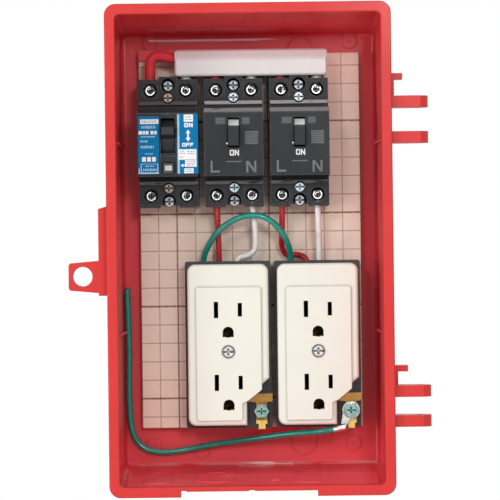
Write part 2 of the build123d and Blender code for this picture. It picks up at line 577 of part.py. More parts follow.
# ---------------------------------------------------------- branch breakers
def branch_cover(xc, name):
    w = BR_W
    with BuildPart() as p:
        terminal_zone(xc, w)
        ridges(xc, w)
        wedge([(D_SPLIT, BRK_Z - 18.2), (D_FACE, BRK_Z - 18.2), (D_FACE, BRK_Z + 15.3), (D_FACE - 2.4, BRK_Z + 17.8),
               (D_SPLIT, BRK_Z + 17.8)], xc - w / 2, xc + w / 2)
        plate(D_SPLIT - 1, 34.4, xc, BRK_Z, w - 3.6, 41.0, mode=Mode.SUBTRACT)
        plate(34.0, D_FACE - 1.6, xc, BRK_Z - 0.2, w - 3.6, 32.6, mode=Mode.SUBTRACT)
        terminal_holes(xc, w)
        # window of the handle
        plate(D_FACE - 6, D_FACE + 2, xc, 61.95, 6.4, 15.9, mode=Mode.SUBTRACT)
        # lugs for the handle pin
        for sx in (-1, 1):
            plate(37.0, D_FACE - 1, xc + sx * 5.4, 62.1, 1.6, 6.0)
        bar_x(xc - 7, xc + 7, 40.0, 62.1, 1.55, mode=Mode.SUBTRACT)
        # raised frame beside the window, two small raised pads and a rule
        plate(D_FACE - 0.5, D_FACE + 0.25, xc + 9.4, 59.1, 7.1, 6.8)
        plate(D_FACE - 0.5, D_FACE + 0.35, xc + 9.4, 62.3, 7.1, 0.4)
        plate(D_FACE - 0.5, D_FACE + 0.35, xc + 9.4, 55.9, 7.1, 0.4)
        plate(D_FACE - 0.5, D_FACE + 0.25, xc - 6.9, 68.1, 5.4, 3.6)
        plate(D_FACE - 0.5, D_FACE + 0.25, xc + 6.6, 68.1, 4.0, 3.6)
        plate(D_FACE - 0.5, D_FACE + 0.2, xc, 46.6, 8.4, 0.5)
        # pole letters L and N, raised
        for poly in (
            [(-12.3, 40.9), (-7.5, 40.9), (-7.5, 41.9), (-11.3, 41.9), (-11.3, 47.0), (-12.3, 47.0)],
            [(6.6, 40.7), (7.6, 40.7), (7.6, 45.0), (10.6, 40.7), (11.8, 40.7), (11.8, 46.8), (10.8, 46.8),
             (10.8, 42.5), (7.8, 46.8), (6.6, 46.8)],
        ):
            with BuildSketch(front(D_FACE - 0.5)):
                with BuildLine():
                    Polyline(*[(xc + a, b) for a, b in poly], close=True)
                make_face()
            extrude(amount=0.8)
    keep(p, name)
    return p


branch = {}
for u in ("a", "b"):
    xc = BR_X[u]
    branch[u, "base"] = breaker_base(xc, BR_W, "branch_%s_base" % u)
    branch[u, "cover"] = branch_cover(xc, "branch_%s_cover" % u)
    branch[u, "handle"] = toggle(xc, 62.1, 40.0, 5.8, -7.5, 13.2, 46, 40, 5.4, 20.0, 8.8, "branch_%s_handle" % u)
    branch[u, "contacts"] = contact_carrier(xc, BR_W, 8.0, "branch_%s_moving_contacts" % u)
    branch[u, "plates"] = terminal_plates(xc, "branch_%s_terminal_plates" % u)
    branch[u, "arc"] = arc_chutes(xc, "branch_%s_arc_chutes" % u)
    with BuildPart() as trip_unit:
        # bimetal strip standing on the lower line terminal plate
        plate(D_PLATE + 1.2, D_PLATE + 2.2, xc - POLE, BRK_Z - 17.3, 5.0, 4.6)
        plate(D_PLATE + 1.2, 50.0, xc - POLE, BRK_Z - 15.4, 5.0, 0.8)
        bar_x(xc - POLE - 1.5, xc + 12.0, 48.0, BRK_Z - 13.4, 1.0)
        plate(46.8, 49.2, xc - POLE, BRK_Z - 14.4, 3.0, 2.6)
    keep(trip_unit, "branch_%s_trip_unit" % u)

# pins of the three handles, turned steel
with BuildPart() as handle_pins:
    bar_x(ELB_X - 6.3, ELB_X + 6.3, 38.4, 58.9, 1.5)
    for u in ("a", "b"):
        bar_x(BR_X[u] - 6.1, BR_X[u] + 6.1, 40.0, 62.1, 1.5)
keep(handle_pins, "handle_pins")

# ----------------------------------------------------------------- fasteners
all_x = (ELB_X, BR_X["a"], BR_X["b"])
screw_group("terminal_screws", [(x + px, BRK_Z + s * SCREW_Z, 31.6, 2.9, 2.8, 1.85, 21.0)
                                for x in all_x for px in (-POLE, POLE) for s in (-1, 1)])
with BuildPart() as terminal_clamps:
    # saddle washers under the terminal screws
    for x in all_x:
        for px in (-POLE, POLE):
            for s in (-1, 1):
                plate(30.6, 31.6, x + px, BRK_Z + s * SCREW_Z, 7.4, 6.6, 0.8)
                disc(30.0, 32.0, x + px, BRK_Z + s * SCREW_Z, 1.95, mode=Mode.SUBTRACT)
keep(terminal_clamps, "terminal_clamps")
screw_group("breaker_mounting_screws", [(x, BRK_Z + s * MOUNT_SCREW_Z, 27.5, 3.2, 2.4, 1.7, 6.6)
                                        for x in all_x for s in (-1, 1)])
screw_group("breaker_cover_screws", [(x, BRK_Z + s * COVER_SCREW_Z, D_TERM, 2.8, 1.8, 1.25, 18.0)
                                     for x in all_x for s in (-1, 1)])

# ----------------------------------------------------------- covered crossover
COV0, COV1 = -39.2, 42.4
with BuildPart() as crossover_cover:
    wedge([(BOARD_D1, 93.1), (36.5, 93.1), (36.5, 102.3), (33.6, 106.5), (31.6, 107.5), (BOARD_D1, 107.5)], COV0, COV1)
    fillet(crossover_cover.edges().filter_by(lambda e: abs(e.tangent_at(0.5).Y) > 0.99 and e.length > 15), radius=2.0)
    chamfer(crossover_cover.faces().sort_by(Axis.Y)[0].edges(), length=0.9)
    # hollow, open towards the board
    wedge([(BOARD_D1 - 1, 94.4), (35.2, 94.4), (35.2, 101.8), (32.6, 105.5), (31.0, 106.2), (BOARD_D1 - 1, 106.2)],
          COV0 + 1.3, COV1 - 1.3, mode=Mode.SUBTRACT)
    # the leads leave through the lower side and the left end
    plate(BOARD_D1 - 1, 33.2, (COV0 + COV1) / 2, 93.5, COV1 - COV0 - 5.0, 3.0, mode=Mode.SUBTRACT)
    plate(BOARD_D1 - 1, 32.6, COV0, 103.35, 4.0, 6.3, mode=Mode.SUBTRACT)
keep(crossover_cover, "crossover_cover")

D_WIRE = D_PLATE + 1.2 + 1.15                 # centre of a bare conductor on its plate


def tube(points, radii, r):
    """Round lead along straight runs joined by tangent arcs."""
    with BuildLine(Plane.XY) as path:
        FilletPolyline(*points, radius=radii)
    start = path.wires()[0]
    with BuildSketch(Plane(origin=start.position_at(0), z_dir=start.tangent_at(0))) as section:
        Circle(r)
    sweep(section.sketch, path=start)


with BuildPart() as crossover_line_lead:
    # red line conductor: out of the left end, down into the main breaker,
    # with a drop to the line terminal of each branch breaker
    zr_ = 103.3
    tube([(17.5, -D_WIRE, zr_), (-41.0, -D_WIRE, zr_ + 0.04), (-45.8, -D_WIRE, zr_ + 1.3), (-52.4, -D_WIRE, zr_ + 1.2),
          (-52.5, -D_WIRE, 91.6)], [8.0, 10.0, 4.5], MAIN / 2)
    for x in (BR_X["a"] - POLE, BR_X["b"] - POLE):
        with BuildSketch(flat(91.6)):
            with Locations((x, -D_WIRE)):
                Circle(MAIN / 2)
        extrude(amount=zr_ - 91.6)
    with BuildSketch(flat(87.7)):
        with Locations((ELB_X - POLE, -D_WIRE), (BR_X["a"] - POLE, -D_WIRE), (BR_X["b"] - POLE, -D_WIRE)):
            Circle(1.1)
    extrude(amount=7.3)
    with Locations((17.5, -D_WIRE, zr_)):
        Sphere(MAIN / 2)
keep(crossover_line_lead, "crossover_line_lead")

with BuildPart() as crossover_neutral_lead:
    # white neutral conductor behind it: one run along the board and three rises
    dn, zn_ = 19.5, 97.05
    xs = (ELB_X + POLE, BR_X["a"] + POLE, BR_X["b"] + POLE)
    with BuildSketch(side((xs[0] + xs[2]) / 2)):
        with Locations((dn, zn_)):
            Circle(MAIN / 2)
    extrude(amount=(xs[2] - xs[0]) / 2, both=True)
    for x in xs:
        with BuildSketch(front(dn)):
            with Locations((x, zn_)):
                Circle(MAIN / 2)
        extrude(amount=D_WIRE - dn)
        with BuildSketch(flat(91.6)):
            with Locations((x, -D_WIRE)):
                Circle(MAIN / 2)
        extrude(amount=zn_ - 91.6)
        with Locations((x, -dn, zn_), (x, -D_WIRE, zn_)):
            Sphere(MAIN / 2)
    with BuildSketch(flat(87.7)):
        with Locations(*[(x, -D_WIRE) for x in xs]):
            Circle(1.1)
    extrude(amount=7.3)
keep(crossover_neutral_lead, "crossover_neutral_lead")


# ---------------------------------------------------------------- receptacles
def receptacle(u):
    xc = REC_X[u]
    top = REC_Z + REC_H / 2
    with BuildPart() as base:
        plate(BOARD_D1, 33.0, xc, REC_Z, REC_W, REC_H, 1.2)
        plate(13.5, 34.0, xc, REC_Z, REC_W - 4.6, REC_H - 4.6, 1.0, mode=Mode.SUBTRACT)
        # closed corner block that carries the earth terminal
        plate(13.0, 33.0, xc + 16.0, -81.6, 12.6, 26.4)
        plate(32.5, 33.9, xc + 20.9, -72.2, 3.0, 0.9)
        plate(32.5, 33.9, xc + 18.9, -75.3, 7.0, 0.9)
        plate(33.0, 35.0, xc + 11.4, -87.0, 1.0, 8.4)
        plate(33.0, 35.0, xc + 22.2, -88.6, 1.0, 11.6)
        # wire entries in the top wall
        for ex, ew in ((-13.3, 5.0), (-4.6, 4.8), (3.2, 8.4)):
            plate(17.6, 25.2, xc + ex, top, ew, 8.0, 0.6, mode=Mode.SUBTRACT)
        # post for the centre screw
        disc(13.0, 40.0, xc, -54.35, 3.4)
        disc(16.0, 41.0, xc, -54.35, 1.5, mode=Mode.SUBTRACT)
        # earth screw clearance and the screws that hold the base to the board
        disc(24.0, 34.0, xc + 17.3, -86.5, 2.0, mode=Mode.SUBTRACT)
        discs(BOARD_D1 - 1, 20.0, [(xc - 15.5, -18.0), (xc - 15.5, -84.0)], 2.2, mode=Mode.SUBTRACT)
        # seats of the contact strips
        for sx in (-1, 1):
            for rz in ROW_Z:
                plate(13.0, 19.0, xc + sx * SLOT, rz, 4.0, 6.0)
    keep(base, "receptacle_%s_base" % u)

    cut = [(9.6, -100.0), (9.6, -79.2), (11.6, -77.2), (22.2, -68.0), (30.0, -68.0), (30.0, -100.0)]
    with BuildPart() as cover:
        plate(33.0, 43.0, xc, COV_Z, COV_W, COV_H, 4.2)
        with BuildSketch(front(32.0)):
            with BuildLine():
                Polyline(*[(xc + a, b) for a, b in cut], close=True)
            make_face()
        extrude(amount=14.0, mode=Mode.SUBTRACT)
        fillet(cover.faces().sort_by(Axis.Y)[0].edges(), radius=1.8)
        # raised centre panel that follows the cut corner
        with BuildSketch(front(42.5)):
            with BuildLine():
                Polyline((xc - 17.0, -20.0), (xc + 17.6, -20.0), (xc + 17.6, -74.6), (xc + 10.4, -80.4), (xc + 7.2, -81.8),
                         (xc + 7.2, -91.0), (xc - 17.0, -91.0), close=True)
            panel = make_face()
            fillet(panel.vertices(), radius=1.2)
        extrude(amount=1.5)
        # hollow behind
        with BuildSketch(front(32.0)):
            with BuildLine():
                Polyline((xc - 19.6, -9.8), (xc + 19.6, -9.8), (xc + 19.6, -68.4), (xc + 10.6, -76.4), (xc + 7.6, -78.6),
                         (xc + 7.6, -91.6), (xc - 19.6, -91.6), close=True)
            make_face()
        extrude(amount=9.2, mode=Mode.SUBTRACT)
        # blade slots: wide neutral on the left, narrow line on the right; D-shaped earth
        for rz in ROW_Z:
            plate(40.0, 46.0, xc - SLOT, rz, 2.3, 8.6, mode=Mode.SUBTRACT)
            plate(40.0, 46.0, xc + SLOT, rz, 2.2, 7.2, mode=Mode.SUBTRACT)
            with BuildSketch(front(40.0)):
                with Locations((xc, rz - GND)):
                    Circle(2.9)
                with Locations((xc, rz - GND - 1.3)):
                    Rectangle(5.8, 2.6)
            extrude(amount=6.0, mode=Mode.SUBTRACT)
        disc(40.0, 46.0, xc, -54.35, 1.7, mode=Mode.SUBTRACT)
        disc(43.2, 46.0, xc, -54.35, 3.5, mode=Mode.SUBTRACT)
        # way for the earth strap through the cut edge
        plate(32.0, 35.6, xc + 9.8, -79.6, 6.4, 6.2, mode=Mode.SUBTRACT)
    keep(cover, "receptacle_%s_cover" % u)

    for sx, cname in ((-1, "neutral"), (1, "line")):
        with BuildPart() as contacts:
            # strip behind the slots with a two-finger clip at each blade
            plate(19.0, 20.0, xc + sx * SLOT, -51.4, 3.3, 44.8)
            for rz in ROW_Z:
                for side_x in (-1, 1):
                    plate(19.0, 39.0, xc + sx * SLOT + side_x * 1.35, rz, 0.6, 6.0)
        keep(contacts, "receptacle_%s_%s_contacts" % (u, cname))

    with BuildPart() as strap:
        # earth strap: sockets behind the earth holes, arm out to the terminal
        plate(22.0, 23.2, xc, -63.2, 4.4, 44.0)
        for rz in ROW_Z:
            disc(22.0, 38.0, xc, rz - GND, 3.1)
        disc(20.0, 24.0, xc, -54.35, 4.2)
        plate(22.0, 23.2, xc + 4.6, -79.4, 9.2, 4.4)
        plate(22.0, 35.2, xc + 8.5, -79.4, 1.2, 4.4)
        plate(34.0, 35.2, xc + 15.6, -79.4, 15.4, 4.4)
        plate(33.0, 35.2, xc + 14.6, -81.3, 4.4, 0.9)
        plate(34.0, 35.2, xc + 17.3, -86.4, 6.0, 14.0)
        plate(33.4, 35.2, xc + 17.5, -94.0, 3.8, 4.4)
        disc(30.0, 38.0, xc + 17.3, -86.5, 2.05, mode=Mode.SUBTRACT)
        disc(19.0, 25.0, xc, -54.35, 3.6, mode=Mode.SUBTRACT)
        for rz in ROW_Z:
            disc(24.0, 39.0, xc, rz - GND, 2.45, mode=Mode.SUBTRACT)
    keep(strap, "receptacle_%s_earth_strap" % u)


for u in ("a", "b"):
    receptacle(u)

screw_group("receptacle_centre_screws", [(REC_X[u], -54.35, 43.2, 3.2, 1.9, 1.4, 20.0) for u in ("a", "b")])
screw_group("receptacle_mounting_screws", [(REC_X[u] - 15.5, z, 13.5, 3.4, 2.2, 1.7, 6.6)
                                           for u in ("a", "b") for z in (-18.0, -84.0)])
LUG_T = 0.8
with BuildPart() as receptacle_earth_screws:
    for u, seat in (("a", 35.2), ("b", 35.2 + LUG_T)):
        x, z = REC_X[u] + 17.3, -86.5
        disc(25.0, seat, x, z, 1.9)
        with BuildSketch(front(seat)):
            with Locations((x, z)):
                RegularPolygon(radius=4.0, side_count=6)
        extrude(amount=3.0)
        for w, h in ((5.0, 0.9), (0.9, 3.4)):
            plate(seat + 2.0, seat + 4.0, x, z, w, h, mode=Mode.SUBTRACT)
keep(receptacle_earth_screws, "receptacle_earth_screws")

# ---------------------------------------------------------------- the leads
REC_TOP = REC_Z + REC_H / 2                   # top face of the receptacle bases
BRK_BOT = BRK_Z - BRK_H / 2
D_REC = 22.2                                  # depth of the receptacles' wire entries


def turn_radii(points):
    """Arc radius for each corner: 0.45 of the shorter run over tan(half turn)."""
    out = []
    v = [Vector(*p) for p in points]
    for a, b, c in zip(v, v[1:], v[2:]):
        turn = (b - a).get_angle(c - b)
        run = min((b - a).length, (c - b).length)
        out.append(round(0.45 * run / math.tan(math.radians(turn) / 2), 2))
    return out


def lead(name, points, r, bare_top=None):
    radii = turn_radii(points)
    with BuildPart() as p:
        tube(points, radii, r)
        if bare_top:
            # stripped end under the terminal clamp
            with BuildSketch(flat(bare_top[2] - 0.2)):
                with Locations((bare_top[0], bare_top[1])):
                    Circle(1.1)
            extrude(amount=3.1)
    length = sum(e.length for e in FilletPolyline(*points, radius=radii).edges())
    print(name, "length", round(length, 1), "radii", radii, "volume ratio",
          round(p.part.volume / (math.pi * r * r * length), 3))
    keep(p, name)
    return p


# branch A: straight red lead, white lead that steps to the left
lead("lead_red_a", [(-17.5, -D_WIRE, 24.0), (-17.2, -29.0, 14.0), (-16.9, -24.5, 4.0), (-16.8, -D_REC, -5.0), (-16.8, -D_REC - 0.1, -13.0)],
     WIRE / 2, (-17.5, -D_WIRE, 24.0))
lead("lead_white_a", [(1.5, -D_WIRE, 24.0), (2.6, -29.2, 15.0), (3.2, -26.0, 6.0), (2.7, -23.4, -0.6), (-1.4, -22.4, -3.4), (-6.2, -D_REC, -4.0), (-8.4, -D_REC, -10.0)],
     WIRE / 2, (1.5, -D_WIRE, 24.0))
lead("lead_red_b", [(17.5, -D_WIRE, 24.0), (17.4, -27.0, 12.0), (16.9, -20.6, 2.4), (18.8, -17.6, -3.2), (24.8, -17.2, -2.8), (30.2, -19.6, -4.4), (31.1, -22.2, -11.0)],
     WIRE / 2, (17.5, -D_WIRE, 24.0))
lead("lead_white_b", [(36.5, -D_WIRE, 24.0), (36.9, -29.0, 14.0), (37.2, -24.5, 4.0), (37.2, -D_REC, -5.0), (37.25, -D_REC - 0.1, -13.0)],
     WIRE / 2, (36.5, -D_WIRE, 24.0))

# green earth jumper between the two receptacles, arched over the leads
JUMPER = [(-25.5, -22.2, -9.6), (-25.3, -23.0, -4.2), (-22.9, -26.0, 1.6), (-18.6, -31.0, 8.6), (-12.6, -33.8, 13.8), (-5.8, -34.6, 17.2),
          (1.4, -34.8, 18.6), (8.2, -34.6, 17.4), (13.6, -33.8, 13.6), (17.6, -32.0, 8.6), (20.6, -28.0, 2.6), (22.0, -23.4, -3.2),
          (22.4, -22.2, -9.4)]
lead("earth_jumper", JUMPER, WIRE / 2)

# green earth lead: from the ring lug on the right receptacle, along the bottom
# of the box and up the left side to its bare cut end
LUG_X, LUG_Z = REC_X["b"] + 17.3, -86.5
EARTH = [(48.33, -35.6, -95.92), (40.49, -35.6, -97.49), (33.0, -31.4, -98.3), (22.0, -24.8, -99.4), (9.6, -19.0, -101.1), (-3.6, -13.8, -103.2),
         (-16.6, -9.9, -105.0), (-29.6, -7.4, -107.4), (-41.0, -6.2, -109.6), (-51.4, -5.8, -110.2), (-60.0, -5.8, -107.6),
         (-65.0, -5.8, -100.6), (-66.6, -5.8, -89.0), (-66.8, -5.8, -72.0), (-66.4, -5.8, -54.0), (-66.9, -5.8, -37.0), (-67.2, -5.8, -20.8)]
lead("earth_lead", EARTH, WIRE / 2)

BARREL = Vector(-0.98, 0, -0.197).normalized()
with BuildPart() as earth_lug:
    # ring lug under the earth screw, its barrel crimped on the lead
    disc(35.2, 35.2 + LUG_T, LUG_X, LUG_Z, 4.7)
    with BuildSketch(front(35.2)):
        with BuildLine():
            Polyline((LUG_X - 4.4, LUG_Z - 1.2), (LUG_X - 0.6, LUG_Z - 4.6), (50.2, -95.4), (47.4, -94.6), close=True)
        make_face()
    extrude(amount=LUG_T)
    # crimped barrel that holds the lead's end
    with BuildSketch(Plane(origin=(49.9, -35.6, -95.6), z_dir=BARREL)):
        Circle(2.2)
    extrude(amount=6.6)
    with BuildSketch(Plane(origin=(49.9, -35.6, -95.6) + BARREL * 1.4, z_dir=BARREL)):
        Circle(1.66)
    extrude(amount=8.0, mode=Mode.SUBTRACT)
    disc(34.0, 37.0, LUG_X, LUG_Z, 2.05, mode=Mode.SUBTRACT)
keep(earth_lug, "earth_lug")
print("pieces written:", len(os.listdir("parts")))
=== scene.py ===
import bpy
import bmesh
import json
import math
import random
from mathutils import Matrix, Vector


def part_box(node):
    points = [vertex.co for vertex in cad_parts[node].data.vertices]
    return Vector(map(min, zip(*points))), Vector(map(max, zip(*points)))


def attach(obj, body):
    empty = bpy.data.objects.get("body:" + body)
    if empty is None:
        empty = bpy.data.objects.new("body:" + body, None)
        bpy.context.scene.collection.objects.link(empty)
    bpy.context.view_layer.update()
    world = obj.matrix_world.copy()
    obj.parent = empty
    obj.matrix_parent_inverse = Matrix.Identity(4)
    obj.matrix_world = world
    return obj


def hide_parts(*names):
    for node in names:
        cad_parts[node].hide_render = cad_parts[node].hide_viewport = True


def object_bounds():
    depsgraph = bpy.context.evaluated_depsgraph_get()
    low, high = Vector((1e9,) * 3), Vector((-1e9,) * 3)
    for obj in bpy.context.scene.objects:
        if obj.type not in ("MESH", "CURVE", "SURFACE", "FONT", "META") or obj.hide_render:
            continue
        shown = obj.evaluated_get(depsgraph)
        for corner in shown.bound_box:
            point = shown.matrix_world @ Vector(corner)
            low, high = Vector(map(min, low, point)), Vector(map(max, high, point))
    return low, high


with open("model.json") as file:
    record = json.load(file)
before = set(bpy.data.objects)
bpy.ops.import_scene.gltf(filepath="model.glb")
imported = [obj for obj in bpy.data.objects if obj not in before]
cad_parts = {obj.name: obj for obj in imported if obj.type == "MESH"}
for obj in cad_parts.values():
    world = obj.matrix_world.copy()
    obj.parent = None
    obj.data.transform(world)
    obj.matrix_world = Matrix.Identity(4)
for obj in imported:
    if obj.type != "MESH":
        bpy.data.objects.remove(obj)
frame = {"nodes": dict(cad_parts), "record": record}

CAD_LOW, CAD_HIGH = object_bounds()
N = frame["nodes"]
SLOT = {s["node"]: s["material_slot"] for s in frame["record"]["subparts"]}
MM = 0.001


# ------------------------------------------------------------------ camera
scene = bpy.context.scene
cam = bpy.data.cameras.new("camera")
cam.lens = 210.53
cam.sensor_width = 36.0
cam.shift_x = -0.0002
cam.shift_y = -0.001
cam.clip_start, cam.clip_end = 0.05, 60.0
cam_ob = bpy.data.objects.new("camera", cam)
cam_ob.location = (0.0, -1.6, 0.0)
cam_ob.rotation_euler = (math.pi / 2, math.radians(0.7), 0.0)
scene.collection.objects.link(cam_ob)
scene.camera = cam_ob
scene.view_settings.view_transform = "Standard"


# --------------------------------------------------------------- materials
def lin(r, g, b):
    """sRGB 0-255 to linear."""
    out = []
    for v in (r, g, b):
        v /= 255.0
        out.append(v / 12.92 if v <= 0.04045 else ((v + 0.055) / 1.055) ** 2.4)
    return (*out, 1.0)


class Graph:
    """A few short cuts for building one node material."""

    def __init__(self, name):
        self.m = bpy.data.materials.new(name)
        self.m.use_nodes = True
        self.t = self.m.node_tree
        self.t.nodes.clear()
        self.out = self.t.nodes.new("ShaderNodeOutputMaterial")
        self.b = self.t.nodes.new("ShaderNodeBsdfPrincipled")
        self.t.links.new(self.b.outputs[0], self.out.inputs[0])
        self.co = self.t.nodes.new("ShaderNodeTexCoord").outputs["Object"]

    def add(self, kind, **inputs):
        n = self.t.nodes.new(kind)
        for k, v in inputs.items():
            key = k.replace("_", " ")
            sock = n.inputs[key] if key in n.inputs else n.inputs[k]
            self.put(v, sock)
        return n

    def put(self, v, sock):
        if isinstance(v, bpy.types.NodeSocket):
            self.t.links.new(v, sock)
        else:
            sock.default_value = v

    def math(self, op, a, b=0.0, clamp=False):
        n = self.t.nodes.new("ShaderNodeMath")
        n.operation = op
        n.use_clamp = clamp
        self.put(a, n.inputs[0])
        self.put(b, n.inputs[1])
        return n.outputs[0]

    def noise(self, scale, detail=3.0, rough=0.55, stretch=None):
        n = self.t.nodes.new("ShaderNodeTexNoise")
        n.inputs["Scale"].default_value = scale
        n.inputs["Detail"].default_value = detail
        n.inputs["Roughness"].default_value = rough
        co = self.co
        if stretch:
            mp = self.t.nodes.new("ShaderNodeMapping")
            mp.inputs["Scale"].default_value = stretch
            self.t.links.new(self.co, mp.inputs["Vector"])
            co = mp.outputs[0]
        self.t.links.new(co, n.inputs["Vector"])
        return n.outputs["Fac"]

    def ramp(self, v, lo, hi, a=0.0, b=1.0):
        n = self.t.nodes.new("ShaderNodeMapRange")
        self.put(v, n.inputs["Value"])
        n.inputs["From Min"].default_value = lo
        n.inputs["From Max"].default_value = hi
        n.inputs["To Min"].default_value = a
        n.inputs["To Max"].default_value = b
        return n.outputs["Result"]

    def mix(self, f, a, b, mode="MIX"):
        n = self.t.nodes.new("ShaderNodeMix")
        n.data_type = "RGBA"
        n.blend_type = mode
        self.put(f, n.inputs[0])
        self.put(a, n.inputs[6])
        self.put(b, n.inputs[7])
        return n.outputs[2]

    def edge(self, radius, lo=0.02, hi=0.25):
        """(soft-edge normal, 0..1 mask that is 1 on sharp edges)."""
        bev = self.t.nodes.new("ShaderNodeBevel")
        bev.samples = 4
        bev.inputs["Radius"].default_value = radius
        geo = self.t.nodes.new("ShaderNodeNewGeometry")
        dot = self.t.nodes.new("ShaderNodeVectorMath")
        dot.operation = "DOT_PRODUCT"
        self.t.links.new(bev.outputs[0], dot.inputs[0])
        self.t.links.new(geo.outputs["Normal"], dot.inputs[1])
        return bev.outputs[0], self.ramp(self.math("SUBTRACT", 1.0, dot.outputs["Value"]), lo, hi)

    def crease(self, distance, lo=0.35, hi=0.95):
        """1 in open places, 0 deep in slots and corners."""
        ao = self.t.nodes.new("ShaderNodeAmbientOcclusion")
        ao.samples = 6
        ao.inputs["Distance"].default_value = distance
        return self.ramp(ao.outputs["AO"], lo, hi)

    def zone(self, col, low, high, colour, amount=1.0, streak=None):
        """Another colour inside the box low..high (mm, x y z); None leaves a side open."""
        xyz = self.add("ShaderNodeSeparateXYZ", Vector=self.co)
        f = amount
        if streak:
            f = self.math("MULTIPLY", f, self.ramp(self.noise(streak[0], 5.0, 0.6, stretch=streak[1]), streak[2], streak[2] + 0.08))
        for k, lo_, hi_ in zip("XYZ", low, high):
            if lo_ is not None:
                f = self.math("MULTIPLY", f, self.ramp(xyz.outputs[k], lo_ * MM - 0.0002, lo_ * MM + 0.0002))
            if hi_ is not None:
                f = self.math("MULTIPLY", f, self.ramp(xyz.outputs[k], hi_ * MM - 0.0002, hi_ * MM + 0.0002, 1.0, 0.0))
        return self.mix(f, col, lin(*colour))

    def bump(self, height, strength, distance, normal=None):
        n = self.t.nodes.new("ShaderNodeBump")
        n.inputs["Strength"].default_value = strength
        n.inputs["Distance"].default_value = distance
        self.put(height, n.inputs["Height"])
        if normal is not None:
            self.put(normal, n.inputs["Normal"])
        return n.outputs[0]


def plastic(name, colour, rough=0.35, mottle=0.06, grain=0.12, edge=(0.00028, 0.25), coat=0.0, spec=0.5,
            grain_scale=1500.0, dust=0.0, scuff=0.0, sss=0.0, warm=None, crease_shade_and_grime=None, deep=None, rim=None,
            coat_rough=0.16, zones=()):
    """Moulded plastic: slow shade changes, fine orange-peel, paler edges (partly wear, partly painted highlight), a
    little dust and scuffing, and painted shade in creases with some grime.
    """
    g = Graph(name)
    base = lin(*colour)
    dark = tuple([c * (1 - mottle) for c in base[:3]]) + (1,)
    pale = tuple([min(1, c * (1 + mottle) + 0.01 * mottle) for c in base[:3]]) + (1,)
    slow = g.noise(38.0, 4.0, 0.6)
    col = g.mix(g.ramp(slow, 0.3, 0.7), dark, pale)
    if warm:
        col = g.mix(g.ramp(g.noise(11.0, 2.0), 0.35, 0.75, 0.0, warm[1]), col, lin(*warm[0]))
    if deep:
        # painted light: colour changes with depth from the front, paler deep inside where less light reaches
        xyz = g.add("ShaderNodeSeparateXYZ", Vector=g.co)
        col = g.mix(g.ramp(xyz.outputs["Y"], deep[1], deep[2], 0.0, 1.0), col, lin(*deep[0]))
    # paler edge colour: partly wear, partly a painted highlight where the edges catch the light
    normal, mask = g.edge(*edge[:1], *edge[2:])
    worn_and_lit_edge = g.math("MULTIPLY", mask, g.ramp(g.noise(420.0, 3.0), 0.35, 0.7, 0.3, 1.0))
    lighter = lin(*rim) if rim else tuple([min(1, c * 1.35 + 0.02) for c in base[:3]]) + (1,)
    col = g.mix(g.math("MULTIPLY", worn_and_lit_edge, edge[1]), col, lighter)
    if dust:
        col = g.mix(g.math("MULTIPLY", g.ramp(g.noise(160.0, 8.0, 0.7), 0.52, 0.78), dust), col, lin(196, 188, 178))
    if scuff:
        streak = g.noise(90.0, 6.0, 0.75, stretch=(1.0, 1.0, 7.0))
        col = g.mix(g.math("MULTIPLY", g.ramp(streak, 0.60, 0.72), scuff), col, lighter)
    # darker colour in creases, slots and recesses: painted shade, with some grime
    if crease_shade_and_grime:
        col = g.mix(g.math("MULTIPLY", g.math("SUBTRACT", 1.0, g.crease(crease_shade_and_grime[1])), crease_shade_and_grime[2]), col, lin(*crease_shade_and_grime[0]))
    for z in zones:
        col = g.zone(col, *z)
    rg = g.ramp(g.noise(70.0, 5.0, 0.65), 0.25, 0.75, max(0.03, rough - 0.07), min(1.0, rough + 0.08))
    nb = g.bump(g.noise(grain_scale, 3.0, 0.6), grain, 0.00004, normal)
    nb = g.bump(g.noise(60.0, 2.0), 0.10, 0.00025, nb)
    for k, v in (("Base Color", col), ("Roughness", rg), ("Normal", nb)):
        g.put(v, g.b.inputs[k])
    g.b.inputs["Specular IOR Level"].default_value = spec
    if coat:
        g.b.inputs["Coat Weight"].default_value = coat
        g.b.inputs["Coat Roughness"].default_value = coat_rough
        g.put(nb, g.b.inputs["Coat Normal"])
    if sss:
        g.b.inputs["Subsurface Weight"].default_value = sss
        g.b.inputs["Subsurface Radius"].default_value = (0.0015, 0.0011, 0.0007)
    return g.m


def metal(name, colour, rough=0.3, tarnish=None, brush=0.25, edge=(0.00018, 0.4), scale=900.0, crease_shade_and_grime=None, rim=None,
          zones=()):
    """Plated metal: brushed micro lines, tarnish in patches, edges painted as highlights, and painted shade in creases
    with some grime.
    """
    g = Graph(name)
    base = lin(*colour)
    col = g.mix(g.ramp(g.noise(240.0, 5.0, 0.6), 0.3, 0.7), tuple([c * 0.82 for c in base[:3]]) + (1,), base)
    if tarnish:
        col = g.mix(g.ramp(g.noise(330.0, 6.0, 0.7), 0.50, 0.72, 0.0, tarnish[1]), col, lin(*tarnish[0]))
    # edge colour: a painted highlight (a dark edge colour paints shade instead)
    normal, mask = g.edge(*edge[:1], *edge[2:])
    col = g.mix(g.math("MULTIPLY", mask, edge[1]), col,
                lin(*rim) if rim else tuple([min(1, c * 1.25 + 0.05) for c in base[:3]]) + (1,))
    for z in zones:
        col = g.zone(col, *z)
    # darker colour in creases, slots and recesses: painted shade, with some grime
    if crease_shade_and_grime:
        col = g.mix(g.math("MULTIPLY", g.math("SUBTRACT", 1.0, g.crease(crease_shade_and_grime[1])), crease_shade_and_grime[2]), col, lin(*crease_shade_and_grime[0]))
    rg = g.ramp(g.noise(500.0, 4.0, 0.7), 0.2, 0.8, rough * 0.7, min(1, rough * 1.45))
    nb = g.bump(g.noise(scale, 2.0, 0.5, stretch=(8.0, 1.0, 1.0)), brush, 0.00003, normal)
    g.put(col, g.b.inputs["Base Color"])
    g.put(rg, g.b.inputs["Roughness"])
    g.put(nb, g.b.inputs["Normal"])
    g.b.inputs["Metallic"].default_value = 1.0
    return g.m


